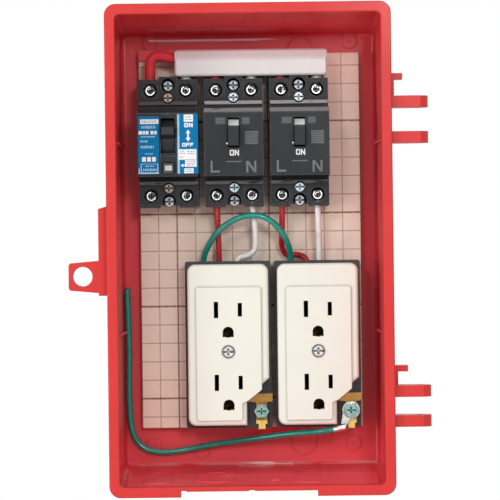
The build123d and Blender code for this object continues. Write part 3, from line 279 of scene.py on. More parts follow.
def board_material():
    """Beige board with a printed brown grid: 10 mm squares, every fifth line heavier."""
    g = Graph("board_grid")
    sep = g.t.nodes.new("ShaderNodeSeparateXYZ")
    g.t.links.new(g.co, sep.inputs[0])
    wob = g.ramp(g.noise(300.0, 2.0), 0.3, 0.7, -0.00006, 0.00006)

    def lines(axis, origin, pitch, half):
        v = g.math("DIVIDE", g.math("SUBTRACT", g.math("ADD", sep.outputs[axis], wob), origin - 100 * pitch), pitch)
        fr = g.math("FRACT", g.math("ADD", v, 0.5))
        dist = g.math("MULTIPLY", g.math("ABSOLUTE", g.math("SUBTRACT", fr, 0.5)), pitch)
        return g.ramp(dist, half * 0.55, half * 1.35, 1.0, 0.0)

    def mx(a, b):
        return g.math("MAXIMUM", a, b)

    fine = mx(lines(0, 0.0005, 0.010, 0.00030), lines(2, -0.0004, 0.010, 0.00030))
    heavy = mx(lines(0, 0.0105 - 0.05, 0.050, 0.00042), lines(2, -0.0304, 0.050, 0.00052))
    paper_a, paper_b = lin(254, 238, 220), lin(246, 228, 208)
    col = g.mix(g.ramp(g.noise(26.0, 5.0, 0.6), 0.3, 0.7), paper_b, paper_a)
    col = g.mix(g.ramp(g.noise(900.0, 4.0, 0.7), 0.45, 0.75, 0.0, 0.16), col, lin(190, 156, 138))
    ink = g.ramp(g.noise(700.0, 3.0), 0.3, 0.6, 0.55, 1.0)
    col = g.mix(g.math("MULTIPLY", g.math("MULTIPLY", fine, 0.72), ink), col, lin(150, 98, 80))
    col = g.mix(g.math("MULTIPLY", g.math("MULTIPLY", heavy, 0.92), ink), col, lin(118, 62, 52))
    normal, mask = g.edge(0.0003)
    col = g.mix(g.math("MULTIPLY", mask, 0.5), col, lin(240, 222, 205))
    nb = g.bump(g.noise(1300.0, 3.0), 0.15, 0.00004, normal)
    g.put(col, g.b.inputs["Base Color"])
    g.put(g.ramp(g.noise(120.0, 4.0), 0.2, 0.8, 0.42, 0.6), g.b.inputs["Roughness"])
    g.put(nb, g.b.inputs["Normal"])
    return g.m


def wire_material(name, colour, rough=0.28):
    """PVC insulation: slight drawing lines along the wire, gloss, handling marks."""
    g = Graph(name)
    base = lin(*colour)
    col = g.mix(g.ramp(g.noise(150.0, 4.0), 0.3, 0.7), tuple([c * 0.84 for c in base[:3]]) + (1,),
                tuple([min(1, c * 1.08 + 0.004) for c in base[:3]]) + (1,))
    col = g.mix(g.ramp(g.noise(700.0, 6.0, 0.75), 0.60, 0.74, 0.0, 0.22), col, lin(200, 196, 190))
    nb = g.bump(g.noise(420.0, 4.0, 0.65), 0.22, 0.00005)
    g.put(col, g.b.inputs["Base Color"])
    g.put(g.ramp(g.noise(260.0, 4.0), 0.25, 0.75, rough - 0.08, rough + 0.12), g.b.inputs["Roughness"])
    g.put(nb, g.b.inputs["Normal"])
    g.b.inputs["Coat Weight"].default_value = 0.6
    g.b.inputs["Coat Roughness"].default_value = 0.12
    return g.m


M = {
    # pale pink edge colour: painted highlight on the moulding's edges
    "box_red": plastic("red_moulding", (222, 50, 45), rough=0.5, coat=0.5, coat_rough=0.13, rim=(246, 140, 130), mottle=0.05, grain=0.10, edge=(0.0005, 0.14),
                       dust=0.0, scuff=0.05, spec=0.22, grain_scale=900.0, warm=((206, 48, 56), 0.35),
                       crease_shade_and_grime=((130, 36, 44), 0.006, 0.25), deep=((242, 70, 80), -0.066, -0.040),
                       # painted highlights: pale glossy streaks beside the floor's upper and lower edges and on the
                       # lower wall
                       zones=(((-54.0, -6.0, 114.0), (16.0, -1.2, 115.1), (255, 240, 236), 1.0, (420.0, (0.05, 1.0, 0.5), 0.40)),
                              ((-66.0, -9.0, -117.6), (68.0, -1.2, -116.2), (236, 150, 150), 0.6, (300.0, (0.12, 1.0, 1.0), 0.42)),
                              ((-8.0, -9.0, -117.8), (22.0, -1.2, -116.0), (255, 232, 228), 0.9, (420.0, (0.10, 1.0, 1.6), 0.46)),
                              ((-17.0, -50.0, None), (-6.0, -38.0, -114.0), (250, 236, 234), 0.9, (500.0, (0.5, 0.9, 1.0), 0.50)),
                              # painted light: paler colour on the inside of the lower wall near the rim, where the face
                              # sits in shade
                              ((-66.0, -54.0, -121.9), (66.0, -34.0, -117.6), (255, 92, 102), 0.8),
                              ((-66.0, -74.0, -123.4), (66.0, -54.0, -117.6), (255, 92, 102), 0.8))),
    "board": board_material(),
    # pale grey edge colour: painted highlight on the edges of the black moulding
    "breaker_black": plastic("phenolic_black", (40, 44, 47), rough=0.5, mottle=0.12, grain=0.22, edge=(0.00055, 0.9, 0.01, 0.10),
                             dust=0.01, spec=0.12, coat=0.35, coat_rough=0.18, rim=(146, 152, 156),
                             # painted highlights: pale bands on the ridges beside the raised block, where they would
                             # catch the light
                             zones=(((-26.5, -42.0, 77.6), (None, -36.4, 79.7), (186, 190, 192), 0.85, (260.0, (0.25, 1.0, 1.0), 0.30)),
                                    ((-26.5, None, 72.9), (None, -40.0, 75.2), (138, 142, 144), 0.85, (260.0, (0.25, 1.0, 1.0), 0.30)),
                                    ((None, -42.0, 77.6), (-26.5, -36.4, 79.7), (118, 122, 124), 0.6, (260.0, (0.25, 1.0, 1.0), 0.38)),
                                    ((None, -42.0, 35.0), (None, -36.4, 36.6), (120, 126, 124), 0.65, (260.0, (0.25, 1.0, 1.0), 0.38))), grain_scale=1700.0, crease_shade_and_grime=((8, 8, 9), 0.003, 0.6)),
    "handle_black": plastic("toggle_black", (52, 54, 56), rough=0.4, mottle=0.10, grain=0.18, edge=(0.0003, 0.6),
                            dust=0.02, spec=0.25, rim=(128, 130, 132), crease_shade_and_grime=((12, 12, 12), 0.003, 0.5)),
    "test_button": plastic("button_grey", (52, 53, 56), rough=0.4, mottle=0.1, grain=0.15, edge=(0.0003, 0.4),
                           crease_shade_and_grime=((10, 10, 11), 0.002, 0.5)),
    "label_blue": plastic("label_film", (2, 118, 174), rough=0.5, mottle=0.05, grain=0.05, edge=(0.0001, 0.2),
                          spec=0.08),
    "copper": metal("plated_copper", (118, 100, 84), 0.34, ((70, 56, 46), 0.5), crease_shade_and_grime=((20, 16, 14), 0.003, 0.9)),
    "contact_bronze": metal("spring_bronze", (190, 142, 82), 0.3, ((120, 90, 58), 0.4)),
    "steel": metal("zinc_plate", (214, 217, 220), 0.24, ((150, 150, 148), 0.30), 0.2, crease_shade_and_grime=((14, 15, 16), 0.0022, 0.98)),
    "ferrite": plastic("coated_core", (30, 30, 32), rough=0.5),
    "circuit_green": plastic("laminate_green", (18, 92, 52), rough=0.35, coat=0.3),
    "coil": metal("wound_wire", (176, 92, 50), 0.3, None, 0.6, scale=2500.0),
    "white_cover": plastic("cover_white", (232, 232, 232), rough=0.24, mottle=0.02, grain=0.05, edge=(0.0006, 0.2),
                           coat=0.4, spec=0.5, dust=0.02, grain_scale=700.0),
    "wire_red": wire_material("insulation_red", (192, 30, 46)),
    "wire_white": wire_material("insulation_white", (252, 250, 247)),
    "wire_green": wire_material("insulation_green", (8, 150, 134)),
    "receptacle_black": plastic("thermoset_black", (36, 36, 36), rough=0.42, mottle=0.12, grain=0.2,
                                edge=(0.0003, 0.5), dust=0.05, crease_shade_and_grime=((8, 8, 8), 0.003, 0.5)),
    "receptacle_ivory": plastic("ivory_face", (240, 243, 231), rough=0.34, mottle=0.018, grain=0.08,
                                edge=(0.0005, 0.10), spec=0.5, grain_scale=1100.0, sss=0.08,
                                warm=((236, 232, 208), 0.35), crease_shade_and_grime=((110, 100, 88), 0.0016, 0.6)),
    "brass": metal("stamped_brass", (206, 162, 98), 0.26, ((128, 92, 52), 0.6), crease_shade_and_grime=((60, 40, 22), 0.003, 0.7)),
    "strap_brass": metal("strap_brass", (176, 130, 72), 0.30, ((112, 76, 40), 0.7), crease_shade_and_grime=((52, 34, 18), 0.003, 0.7),
                         rim=(244, 214, 176), edge=(0.0004, 0.8),
                         zones=(((None, None, -98.0), (None, None, -91.4), (236, 200, 120), 0.85),
                                # dark zones over the earth sockets: painted shade in the holes
                                ((-20.0, None, None), (-7.2, None, None), (38, 34, 28), 1.0),
                                ((28.0, None, None), (40.7, None, None), (38, 34, 28), 1.0))),
    "earth_screw_green": metal("green_chromate", (168, 206, 196), 0.24, ((74, 118, 104), 0.6), crease_shade_and_grime=((18, 34, 30), 0.0022, 0.9)),
    "tin": metal("tinned_copper", (244, 244, 240), 0.24, ((150, 146, 136), 0.4), crease_shade_and_grime=((40, 38, 34), 0.002, 0.7)),
    "dark_brass": metal("tarnished_brass", (74, 66, 54), 0.5, ((34, 30, 26), 0.7), crease_shade_and_grime=((8, 8, 8), 0.004, 0.9)),
    # near-white edge colour on the screw materials below: painted glints; near-black crease colour: painted shade in
    # their recesses
    "terminal_steel": metal("terminal_screw_plate", (74, 76, 78), 0.3, ((40, 40, 40), 0.5), 0.2, edge=(0.0006, 1.0, 0.01, 0.09),
                            rim=(252, 254, 254), crease_shade_and_grime=((8, 8, 9), 0.0020, 1.0)),
    "cover_steel": metal("cover_screw_plate", (176, 190, 202), 0.3, ((120, 128, 134), 0.4), 0.2, edge=(0.0005, 0.9, 0.01, 0.12),
                         rim=(252, 254, 255), crease_shade_and_grime=((10, 11, 12), 0.0020, 1.0),
                         zones=(((None, None, 0.0), (-30.0, None, None), (134, 116, 96), 0.85),
                                ((None, None, None), (-30.0, None, 60.0), (150, 150, 118), 0.0))),
    "mount_steel": metal("mount_screw_plate", (158, 164, 170), 0.3, ((60, 60, 60), 0.5), 0.2, edge=(0.0006, 1.0, 0.01, 0.10),
                         rim=(252, 254, 254), crease_shade_and_grime=((8, 8, 9), 0.0020, 1.0)),
    "nickel_dark": metal("dull_plating", (112, 112, 110), 0.4, ((60, 58, 54), 0.6), crease_shade_and_grime=((10, 10, 10), 0.003, 0.95)),
    # dark edge colour and black crease colour: painted shade round the bright screw heads
    "screw_bright": metal("bright_screw", (226, 228, 226), 0.28, ((150, 150, 148), 0.35), edge=(0.0005, 1.0, 0.02, 0.14), rim=(26, 26, 26),
                          crease_shade_and_grime=((8, 8, 8), 0.0009, 1.0)),
    "lead_red": plastic("lead_red", (214, 58, 66), rough=0.55, mottle=0.08, grain=0.10, edge=(0.0003, 0.05),
                        spec=0.15, coat=0.1, crease_shade_and_grime=((110, 22, 30), 0.003, 0.4)),
}

LOOK = {"terminal_clamps": "nickel_dark", "receptacle_centre_screws": "screw_bright", "crossover_line_lead": "lead_red",
        "breaker_terminal_screws": "terminal_steel", "terminal_screws": "terminal_steel",
        "breaker_cover_screws": "cover_steel", "breaker_mounting_screws": "mount_steel",
        "receptacle_a_earth_strap": "strap_brass", "receptacle_b_earth_strap": "strap_brass"}
for name, ob in N.items():
    if name.endswith("_contacts") and name.startswith("receptacle"):
        LOOK[name] = "dark_brass"
    m = M[LOOK.get(name, SLOT[name])]
    ob.data.materials.clear()
    ob.data.materials.append(m)
    for p in ob.data.polygons:
        p.material_index = 0

ink_white = plastic("print_white", (240, 242, 240), rough=0.38, mottle=0.03, grain=0.04, edge=(0.00005, 0.05))
ink_pale = plastic("print_pale", (150, 196, 222), rough=0.4, mottle=0.05, grain=0.04, edge=(0.00005, 0.05))
ink_dark = plastic("print_dark", (40, 62, 84), rough=0.45, mottle=0.05, grain=0.04, edge=(0.00005, 0.05))
# bright metal for the painted glints on the screw rims
glint_steel = metal("painted_glint_rim", (236, 238, 238), 0.3, ((170, 172, 172), 0.5), edge=(0.00008, 0.4))
button_white = plastic("button_white", (196, 200, 202), rough=0.4, mottle=0.06, grain=0.1, edge=(0.00008, 0.3))
plate_grey = plastic("plate_grey", (66, 69, 72), rough=0.4, mottle=0.06, grain=0.1, edge=(0.00008, 0.3))
ink_grey = plastic("print_grey", (104, 107, 110), rough=0.4, mottle=0.06, grain=0.1, edge=(0.00008, 0.3))


# ----------------------------------------------------------------- geometry
def new_piece(name, bm, mat, body="box", smooth=True, angle=35.0):
    bmesh.ops.remove_doubles(bm, verts=bm.verts, dist=1e-7)
    bmesh.ops.recalc_face_normals(bm, faces=bm.faces)
    me = bpy.data.meshes.new(name)
    bm.to_mesh(me)
    bm.free()
    ob = bpy.data.objects.new(name, me)
    scene.collection.objects.link(ob)
    me.materials.append(mat)
    if smooth:
        me.shade_smooth()
        me.set_sharp_from_angle(angle=math.radians(angle))
    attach(ob, body)
    return ob


def rrect(x, z, w, h, r=0.0, n=5):
    """Rounded rectangle as (x, z) points in mm, counter-clockwise."""
    if r <= 0:
        return [(x - w / 2, z - h / 2), (x + w / 2, z - h / 2), (x + w / 2, z + h / 2), (x - w / 2, z + h / 2)]
    r = min(r, w / 2 - 1e-4, h / 2 - 1e-4)
    out = []
    for cx, cz, a0 in ((x + w / 2 - r, z - h / 2 + r, -90), (x + w / 2 - r, z + h / 2 - r, 0),
                       (x - w / 2 + r, z + h / 2 - r, 90), (x - w / 2 + r, z - h / 2 + r, 180)):
        for i in range(n + 1):
            a = math.radians(a0 + 90 * i / n)
            out.append((cx + r * math.cos(a), cz + r * math.sin(a)))
    return out


def prism(bm, pts, d0, d1, inset=0.0):
    """Flat prism over (x, z) points from depth d0 to d1, its front edge softened by inset."""
    cx = sum(p[0] for p in pts) / len(pts)
    cz = sum(p[1] for p in pts) / len(pts)

    def ring(scale, d):
        return [bm.verts.new(((cx + (x - cx) * scale) * MM, -d * MM, (cz + (z - cz) * scale) * MM)) for x, z in pts]

    rings = [ring(1.0, d0)]
    if inset > 0:
        size = max(max(abs(p[0] - cx) for p in pts), 0.05)
        rings += [ring(1.0, d1 - inset), ring(max(0.2, 1 - inset / size), d1)]
    else:
        rings.append(ring(1.0, d1))
    for a, b in zip(rings, rings[1:]):
        for i in range(len(pts)):
            j = (i + 1) % len(pts)
            bm.faces.new((a[i], a[j], b[j], b[i]))
    bm.faces.new(rings[0][::-1])
    bm.faces.new(rings[-1])


def hoop(bm, outer, inner, d0, d1):
    """Flat ring between two outlines with the same number of points."""
    def ring(pts, d):
        return [bm.verts.new((x * MM, -d * MM, z * MM)) for x, z in pts]
    o0, o1, i0, i1 = ring(outer, d0), ring(outer, d1), ring(inner, d0), ring(inner, d1)
    n = len(outer)
    for i in range(n):
        j = (i + 1) % n
        for a, b in ((o0, o1), (i1, i0), (o1, i1), (i0, o0)):
            bm.faces.new((a[i], a[j], b[j], b[i]))


def stroke(bm, pts, w, d0, d1):
    """Straight strokes of width w along (x, z) points."""
    for (x0, z0), (x1, z1) in zip(pts, pts[1:]):
        ln = math.hypot(x1 - x0, z1 - z0)
        ux, uz = (x1 - x0) / ln, (z1 - z0) / ln
        a, b = w / 2, w / 2
        prism(bm, [(x0 - ux * a + uz * b, z0 - uz * a - ux * b), (x1 + ux * a + uz * b, z1 + uz * a - ux * b),
                   (x1 + ux * a - uz * b, z1 + uz * a + ux * b), (x0 - ux * a - uz * b, z0 - uz * a + ux * b)], d0, d1)


def switch_word(bm, word, x, z, h, w, d0, d1, t):
    """The generic switch words ON and OFF, drawn with plain strokes."""
    n = len(word)
    cw = w / n
    for k, ch in enumerate(word):
        cx = x - w / 2 + cw * (k + 0.5)
        hw, hh = cw * 0.5 - t * 0.75, h / 2 - t / 2
        if ch == "O":
            hoop(bm, rrect(cx, z, 2 * hw + t, h, hw * 0.8), rrect(cx, z, 2 * hw - t, h - 2 * t, hw * 0.5), d0, d1)
        elif ch == "N":
            stroke(bm, [(cx - hw, z - hh), (cx - hw, z + hh)], t, d0, d1)
            stroke(bm, [(cx + hw, z - hh), (cx + hw, z + hh)], t, d0, d1)
            stroke(bm, [(cx - hw, z + hh), (cx + hw, z - hh)], t, d0, d1 - 0.002)
        elif ch == "F":
            stroke(bm, [(cx - hw, z - hh), (cx - hw, z + hh)], t, d0, d1)
            stroke(bm, [(cx - hw, z + hh), (cx + hw, z + hh)], t, d0, d1 - 0.002)
            stroke(bm, [(cx - hw, z), (cx + hw * 0.6, z)], t, d0, d1 - 0.002)


def bars(bm, rng, x0, x1, z, h, d0, d1, wmin=0.35, wmax=1.1, gap=0.28):
    """A row of short blank bars that stands for small print."""
    x = x0
    while x < x1 - wmin:
        w = min(rng.uniform(wmin, wmax), x1 - x)
        hh = h * rng.uniform(0.75, 1.0)
        prism(bm, rrect(x + w / 2, z, w, hh), d0, d1)
        x += w + gap * rng.uniform(0.7, 1.6)


rng = random.Random(7)
LO = {k: tuple(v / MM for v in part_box(k)[0]) for k in N}
HI = {k: tuple(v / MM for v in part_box(k)[1]) for k in N}


def place(node, u, v):
    """Point (x, z) in mm at fractions u, v of a node's front outline, v from the top."""
    return (LO[node][0] + u * (HI[node][0] - LO[node][0]), HI[node][2] - v * (HI[node][2] - LO[node][2]))


def block(bm, node, u0, v0, u1, v1, d0, d1, r=0.0):
    a, b = place(node, u0, v0), place(node, u1, v1)
    prism(bm, rrect((a[0] + b[0]) / 2, (a[1] + b[1]) / 2, b[0] - a[0], a[1] - b[1], r), d0, d1)


# ------------------------------------------------------------------- cords
JUMPER = [(-25.5, -22.2, -9.6), (-25.3, -23.0, -4.2), (-22.9, -26.0, 1.6), (-18.6, -31.0, 8.6), (-12.6, -33.8, 13.8), (-5.8, -34.6, 17.2),
          (1.4, -34.8, 18.6), (8.2, -34.6, 17.4), (13.6, -33.8, 13.6), (17.6, -32.0, 8.6), (20.6, -28.0, 2.6), (22.0, -23.4, -3.2),
          (22.4, -22.2, -9.4)]
EARTH = [(48.33, -35.6, -95.92), (40.49, -35.6, -97.49), (33.0, -31.4, -98.3), (22.0, -24.8, -99.4), (9.6, -19.0, -101.1), (-3.6, -13.8, -103.2),
         (-16.6, -9.9, -105.0), (-29.6, -7.4, -107.4), (-41.0, -6.2, -109.6), (-51.4, -5.8, -110.2), (-60.0, -5.8, -107.6),
         (-65.0, -5.8, -100.6), (-66.6, -5.8, -89.0), (-66.8, -5.8, -72.0), (-66.4, -5.8, -54.0), (-66.9, -5.8, -37.0), (-67.2, -5.8, -20.8)]


def cord_curve(name, pts, diameter, mat):
    cu = bpy.data.curves.new(name, "CURVE")
    cu.dimensions = "3D"
    sp = cu.splines.new("NURBS")
    sp.points.add(len(pts) - 1)
    for p, q in zip(sp.points, pts):
        p.co = (q[0] * MM, q[1] * MM, q[2] * MM, 1.0)
    sp.order_u = 3
    sp.use_endpoint_u = True
    sp.resolution_u = 14
    cu.bevel_depth = diameter / 2 * MM
    cu.bevel_resolution = 6
    cu.use_fill_caps = True
    cu.materials.append(mat)
    ob = bpy.data.objects.new(name, cu)
    scene.collection.objects.link(ob)
    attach(ob, "box")
    return ob


jumper = cord_curve("earth_jumper_wire", JUMPER, 3.2, M["wire_green"])
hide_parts("earth_jumper")

earth = cord_curve("earth_lead_wire", EARTH, 3.2, M["wire_green"])
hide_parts("earth_lead")

# seven copper strands standing just proud of the cut end
bm = bmesh.new()
tip, before = Vector(EARTH[-1]), Vector(EARTH[-2])
axis = (tip - before).normalized()
u = axis.orthogonal().normalized()
v = axis.cross(u)
for k in range(7):
    off = Vector((0, 0, 0)) if k == 0 else u * math.cos(k * math.pi / 3) * 0.62 + v * math.sin(k * math.pi / 3) * 0.62
    rings = []
    for t, r in ((-0.6, 0.30), (0.32 + 0.06 * (k % 3), 0.30), (0.42 + 0.06 * (k % 3), 0.2)):
        c = tip + off + axis * t
        rings.append([bm.verts.new((c + (u * math.cos(a * math.pi / 5) + v * math.sin(a * math.pi / 5)) * r) * MM)
                      for a in range(10)])
    for a, b in zip(rings, rings[1:]):
        for i in range(10):
            bm.faces.new((a[i], a[(i + 1) % 10], b[(i + 1) % 10], b[i]))
    bm.faces.new(rings[0][::-1])
    bm.faces.new(rings[-1])
strands = new_piece("earth_lead_strands", bm, M["copper"])

# --------------------------------------------------------- label graphics
T = 0.035                                       # printed layer
L, R = "elb_label_left", "elb_label_right"
dl, dr = -LO[L][1], -LO[R][1]
bm = bmesh.new()
block(bm, L, 0.10, 0.050, 0.99, 0.130, dl - 0.01, dl + T, 0.2)
a, b = place(L, 0.03, 0.252), place(L, 0.90, 0.308)
for x0, x1 in ((0.02, 0.20), (0.23, 0.33), (0.36, 0.50), (0.60, 0.74), (0.78, 0.90)):
    block(bm, L, x0, 0.252, x1, 0.310, dl - 0.01, dl + T)
for x0, x1 in ((0.17, 0.36), (0.42, 0.60), (0.66, 0.84)):
    block(bm, L, x0, 0.705, x1, 0.785, dl - 0.01, dl + T, 0.25)
block(bm, L, 0.16, 0.822, 0.99 - 0.05, 0.826, dl - 0.01, dl + T)
o = [place(L, 0.12, 0.82), place(L, 0.95, 0.985)]
cx, cz, w, h = (o[0][0] + o[1][0]) / 2, (o[0][1] + o[1][1]) / 2, o[1][0] - o[0][0], o[0][1] - o[1][1]
hoop(bm, rrect(cx, cz, w, h, 0.9), rrect(cx, cz, w - 0.5, h - 0.5, 0.7), dl - 0.01, dl + T)
new_piece("label_left_print", bm, ink_white, smooth=False)

bm = bmesh.new()
for (u0, u1, vv, hh) in ((0.16, 0.86, 0.185, 0.055), (0.14, 0.86, 0.352, 0.030), (0.10, 0.46, 0.432, 0.045),
                         (0.12, 0.78, 0.530, 0.050), (0.32, 0.70, 0.650, 0.024), (0.34, 0.80, 0.862, 0.030),
                         (0.22, 0.88, 0.928, 0.048)):
    a, b = place(L, u0, vv), place(L, u1, vv)
    bars(bm, rng, a[0], b[0], a[1], hh * (HI[L][2] - LO[L][2]), dl - 0.01, dl + T * 0.8)
new_piece("label_left_rows", bm, ink_pale, smooth=False)

bm = bmesh.new()
for vv in (0.078, 0.102):
    a, b = place(L, 0.16, vv), place(L, 0.93, vv)
    bars(bm, rng, a[0], b[0], a[1], 0.34, dl + T - 0.01, dl + T + 0.02)
new_piece("label_left_title", bm, ink_dark, smooth=False)

bm = bmesh.new()
block(bm, R, 0.32, 0.010, 0.77, 0.130, dr - 0.01, dr + T, 0.2)
block(bm, R, 0.32, 0.908, 0.77, 0.992, dr - 0.01, dr + T, 0.2)
block(bm, R, 0.04, 0.590, 0.92, 0.765, dr - 0.01, dr + T, 0.2)
block(bm, R, 0.36, 0.760, 0.92, 0.885, dr - 0.01, dr + T, 0.2)
x, z = place(R, 0.545, 0.187)
switch_word(bm, "ON", x, z, 2.3, 4.8, dr - 0.01, dr + T, 0.62)
x, z = place(R, 0.50, 0.515)
switch_word(bm, "OFF", x, z, 2.0, 6.2, dr - 0.01, dr + T, 0.52)
x, z0 = place(R, 0.52, 0.262)
_, z1 = place(R, 0.52, 0.460)
for za, s in ((z0, -1), (z1, 1)):
    prism(bm, [(x - 1.25, za + s * 1.9), (x, za), (x + 1.25, za + s * 1.9)][::(1 if s < 0 else -1)], dr - 0.01, dr + T)
prism(bm, rrect(x, (z0 + z1) / 2, 0.85, z0 - z1 - 3.2), dr - 0.01, dr + T - 0.002)
x, z = place(R, 0.26, 0.86)
prism(bm, [(x - 1.3, z), (x + 0.1, z - 0.9), (x + 0.1, z + 0.9)], dr - 0.01, dr + T)
prism(bm, rrect(x + 0.9, z, 1.8, 0.55), dr - 0.01, dr + T - 0.002)
new_piece("label_right_print", bm, ink_white, smooth=False)

bm = bmesh.new()
for (u0, u1, vv) in ((0.38, 0.70, 0.05), (0.38, 0.72, 0.09), (0.10, 0.40, 0.655), (0.48, 0.86, 0.625), (0.48, 0.86, 0.660),
                     (0.12, 0.36, 0.620), (0.10, 0.30, 0.720), (0.44, 0.86, 0.790), (0.44, 0.84, 0.825), (0.46, 0.86, 0.858),
                     (0.38, 0.70, 0.935), (0.38, 0.72, 0.965)):
    a, b = place(R, u0, vv), place(R, u1, vv)
    bars(bm, rng, a[0], b[0], a[1], 0.42, dr + T - 0.01, dr + T + 0.02, 0.25, 0.8, 0.3)
new_piece("label_right_small_print", bm, ink_dark, smooth=False)

bm = bmesh.new()
block(bm, R, 0.0, 0.004, 0.10, 0.996, dr - 0.01, dr + 0.012)
block(bm, L, 0.0, 0.900, 0.06, 0.998, dl - 0.01, dl + 0.012)
block(bm, L, 0.0, 0.978, 1.0, 0.998, dl - 0.01, dl + 0.010)
new_piece("label_edge_print", bm, ink_pale, smooth=False)

# ------------------------------------------------ marks on the breakers
for u_, xc in (("a", -8.0), ("b", 27.0)):
    face = 55.0
    bm = bmesh.new()
    switch_word(bm, "ON", xc + 0.3, 51.3, 3.1, 5.2, face - 0.01, face + 0.04, 0.62)
    prism(bm, rrect(xc - 3.55, 56.2, 1.0, 1.0, 0.48), face - 0.01, face + 0.05)
    new_piece("branch_%s_marks" % u_, bm, ink_white, smooth=False)
    bm = bmesh.new()
    prism(bm, rrect(xc, 46.6, 8.0, 0.42), face + 0.19, face + 0.23)
    # pole letters laid on their raised strokes
    for poly in ([(-12.3, 40.9), (-7.5, 40.9), (-7.5, 41.9), (-12.3, 41.9)], [(-12.3, 41.9), (-11.3, 41.9), (-11.3, 47.0), (-12.3, 47.0)],
                 [(6.6, 40.7), (7.6, 40.7), (7.6, 46.8), (6.6, 46.8)], [(10.8, 40.7), (11.8, 40.7), (11.8, 46.8), (10.8, 46.8)],
                 [(7.5, 45.3), (10.9, 40.7), (11.1, 42.0), (7.7, 46.8)]):
        prism(bm, [(xc + a_, b_) for a_, b_ in poly], face + 0.29, face + 0.34)
    new_piece("branch_%s_rule" % u_, bm, ink_grey, smooth=False)
    # slightly paler raised plates beside the handle
    bm = bmesh.new()
    prism(bm, rrect(xc + 9.4, 59.1, 6.9, 6.0, 0.3), face + 0.24, face + 0.28)
    prism(bm, rrect(xc - 6.9, 68.1, 5.2, 3.4, 0.2), face + 0.24, face + 0.28)
    prism(bm, rrect(xc + 6.6, 68.1, 3.8, 3.4, 0.2), face + 0.24, face + 0.28)
    new_piece("branch_%s_plates" % u_, bm, plate_grey, smooth=False)
    bm = bmesh.new()
    for zz in (62.3, 55.9):
        prism(bm, rrect(xc + 9.4, zz, 7.0, 0.36), face + 0.34, face + 0.38)
    for k in range(4):
        bars(bm, rng, xc + 6.6, xc + 12.2, 61.0 - 1.25 * k, 0.32, face + 0.27, face + 0.30, 0.4, 1.0, 0.4)
    for k in range(2):
        bars(bm, rng, xc - 9.0, xc - 4.8, 68.9 - 1.4 * k, 0.4, face + 0.27, face + 0.30, 0.4, 0.9, 0.4)
        bars(bm, rng, xc + 5.0, xc + 8.2, 68.9 - 1.4 * k, 0.4, face + 0.27, face + 0.30, 0.4, 0.9, 0.4)
    new_piece("branch_%s_plate_print" % u_, bm, ink_grey, smooth=False)
    # white flag printed on the curved skirt of the handle
    bm = bmesh.new()
    cols = []
    for k in range(13):
        a_ = math.radians(15.4 + (31.0 - 15.4) * k / 12)
        row = []
        for r in (13.17, 13.26):
            for x in (xc - 2.75, xc + 2.75):
                row.append(bm.verts.new((x * MM, -(40.0 + r * math.cos(a_)) * MM, (62.1 + r * math.sin(a_)) * MM)))
        cols.append(row)
    for p, q in zip(cols, cols[1:]):
        for i, j in ((0, 1), (1, 3), (3, 2), (2, 0)):
            bm.faces.new((p[i], p[j], q[j], q[i]))
    bm.faces.new([cols[0][i] for i in (0, 1, 3, 2)])
    bm.faces.new([cols[-1][i] for i in (2, 3, 1, 0)])
    new_piece("branch_%s_flag" % u_, bm, ink_white, "branch_%s_toggle" % u_)

# white square on the test button
b0, b1 = LO["elb_test_button"], HI["elb_test_button"]
bm = bmesh.new()
prism(bm, rrect((b0[0] + b1[0]) / 2 + 0.1, (b0[2] + b1[2]) / 2 - 0.1, 3.7, 2.7, 0.2), -b0[1] - 0.01, -b0[1] + 0.05)
new_piece("test_button_mark", bm, button_white, "elb_test", smooth=False)

# painted glints: bright partial rings on the rims and slots of the screws
def rim_of(bm, x, z, r, w, d0, d1, a0, a1):
    n = max(6, int((a1 - a0) / 12))
    inner, outer = [], []
    for k in range(n + 1):
        a = math.radians(a0 + (a1 - a0) * k / n)
        outer.append((x + (r + w / 2) * math.cos(a), z + (r + w / 2) * math.sin(a)))
        inner.append((x + (r - w / 2) * math.cos(a), z + (r - w / 2) * math.sin(a)))
    for k in range(n):
        prism(bm, [inner[k], outer[k], outer[k + 1], inner[k + 1]], d0, d1)


rng = random.Random(11)
BREAKERS_X, BREAKERS_Z = (-43.0, -8.0, 27.0), 57.3
bm = bmesh.new()
for bx_ in BREAKERS_X:
    for sx_ in (-1, 1):
        for sz_ in (-1, 1):
            cx, cz = bx_ + sx_ * 9.5, BREAKERS_Z + sz_ * 28.2
            gap = rng.uniform(60, 130)
            rim_of(bm, cx, cz, 2.15, 0.62, 34.38, 34.46, gap, gap + rng.uniform(215, 300))
            if rng.random() < 0.7:
                g0 = rng.uniform(0, 360)
                rim_of(bm, cx, cz, 1.15, 0.45, 34.38, 34.45, g0, g0 + rng.uniform(50, 130))
new_piece("terminal_screw_glints", bm, glint_steel, smooth=False)

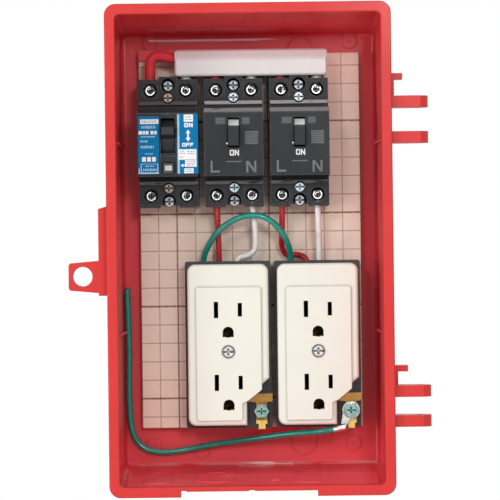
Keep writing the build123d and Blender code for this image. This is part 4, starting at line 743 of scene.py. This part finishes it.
# ------------------------------------------------------------------- stage
me = bpy.data.meshes.new("floor")
bm = bmesh.new()
z = CAD_LOW.z - 0.060
grid = []
for i in range(9):
    grid.append([bm.verts.new((-0.48 + 0.12 * i, -0.55 + 0.12 * j, z)) for j in range(9)])
for i in range(8):
    for j in range(8):
        bm.faces.new((grid[i][j], grid[i + 1][j], grid[i + 1][j + 1], grid[i][j + 1]))
bm.to_mesh(me)
bm.free()
floor = bpy.data.objects.new("floor", me)
scene.collection.objects.link(floor)
g = Graph("studio_floor")
g.put(g.mix(g.ramp(g.noise(1.5, 3.0), 0.3, 0.7), lin(246, 246, 246), lin(250, 250, 250)), g.b.inputs["Base Color"])
g.b.inputs["Roughness"].default_value = 0.9
g.b.inputs["Specular IOR Level"].default_value = 0.1
me.materials.append(g.m)

world = bpy.data.worlds.new("studio")
scene.world = world
world.use_nodes = True
wt = world.node_tree
bg = wt.nodes["Background"]
path = wt.nodes.new("ShaderNodeLightPath")
level = wt.nodes.new("ShaderNodeMapRange")
wt.links.new(path.outputs["Is Camera Ray"], level.inputs["Value"])
level.inputs["To Min"].default_value = 0.50
level.inputs["To Max"].default_value = 1.0
wt.links.new(level.outputs[0], bg.inputs[1])
bg.inputs[0].default_value = (1.0, 1.0, 1.0, 1.0)


def softbox(name, at, target, size, watts, colour=(1, 1, 1)):
    li = bpy.data.lights.new(name, "AREA")
    li.shape = "RECTANGLE"
    li.size, li.size_y = size
    li.energy = watts
    li.color = colour
    ob = bpy.data.objects.new(name, li)
    ob.location = at
    ob.rotation_euler = (Vector(target) - Vector(at)).to_track_quat("-Z", "Y").to_euler()
    scene.collection.objects.link(ob)
    return ob


softbox("key", (-0.60, -2.3, 0.7), (0, 0, 0), (0.35, 0.35), 6.5)
softbox("front", (0.40, -2.6, 0.5), (0, 0, 0), (0.3, 0.3), 13.0)
softbox("side", (-1.5, -1.3, 0.1), (0, 0, 0), (0.5, 0.9), 9.0)
softbox("overhead", (0.0, -0.9, 1.5), (0, 0, 0), (0.8, 0.3), 3.5)
softbox("low", (-0.2, -1.3, -1.3), (0, 0, 0), (0.7, 0.2), 8.0)
softbox("back_fill", (0.6, 1.6, 0.9), (0, 0, 0), (1.0, 1.0), 8.0)
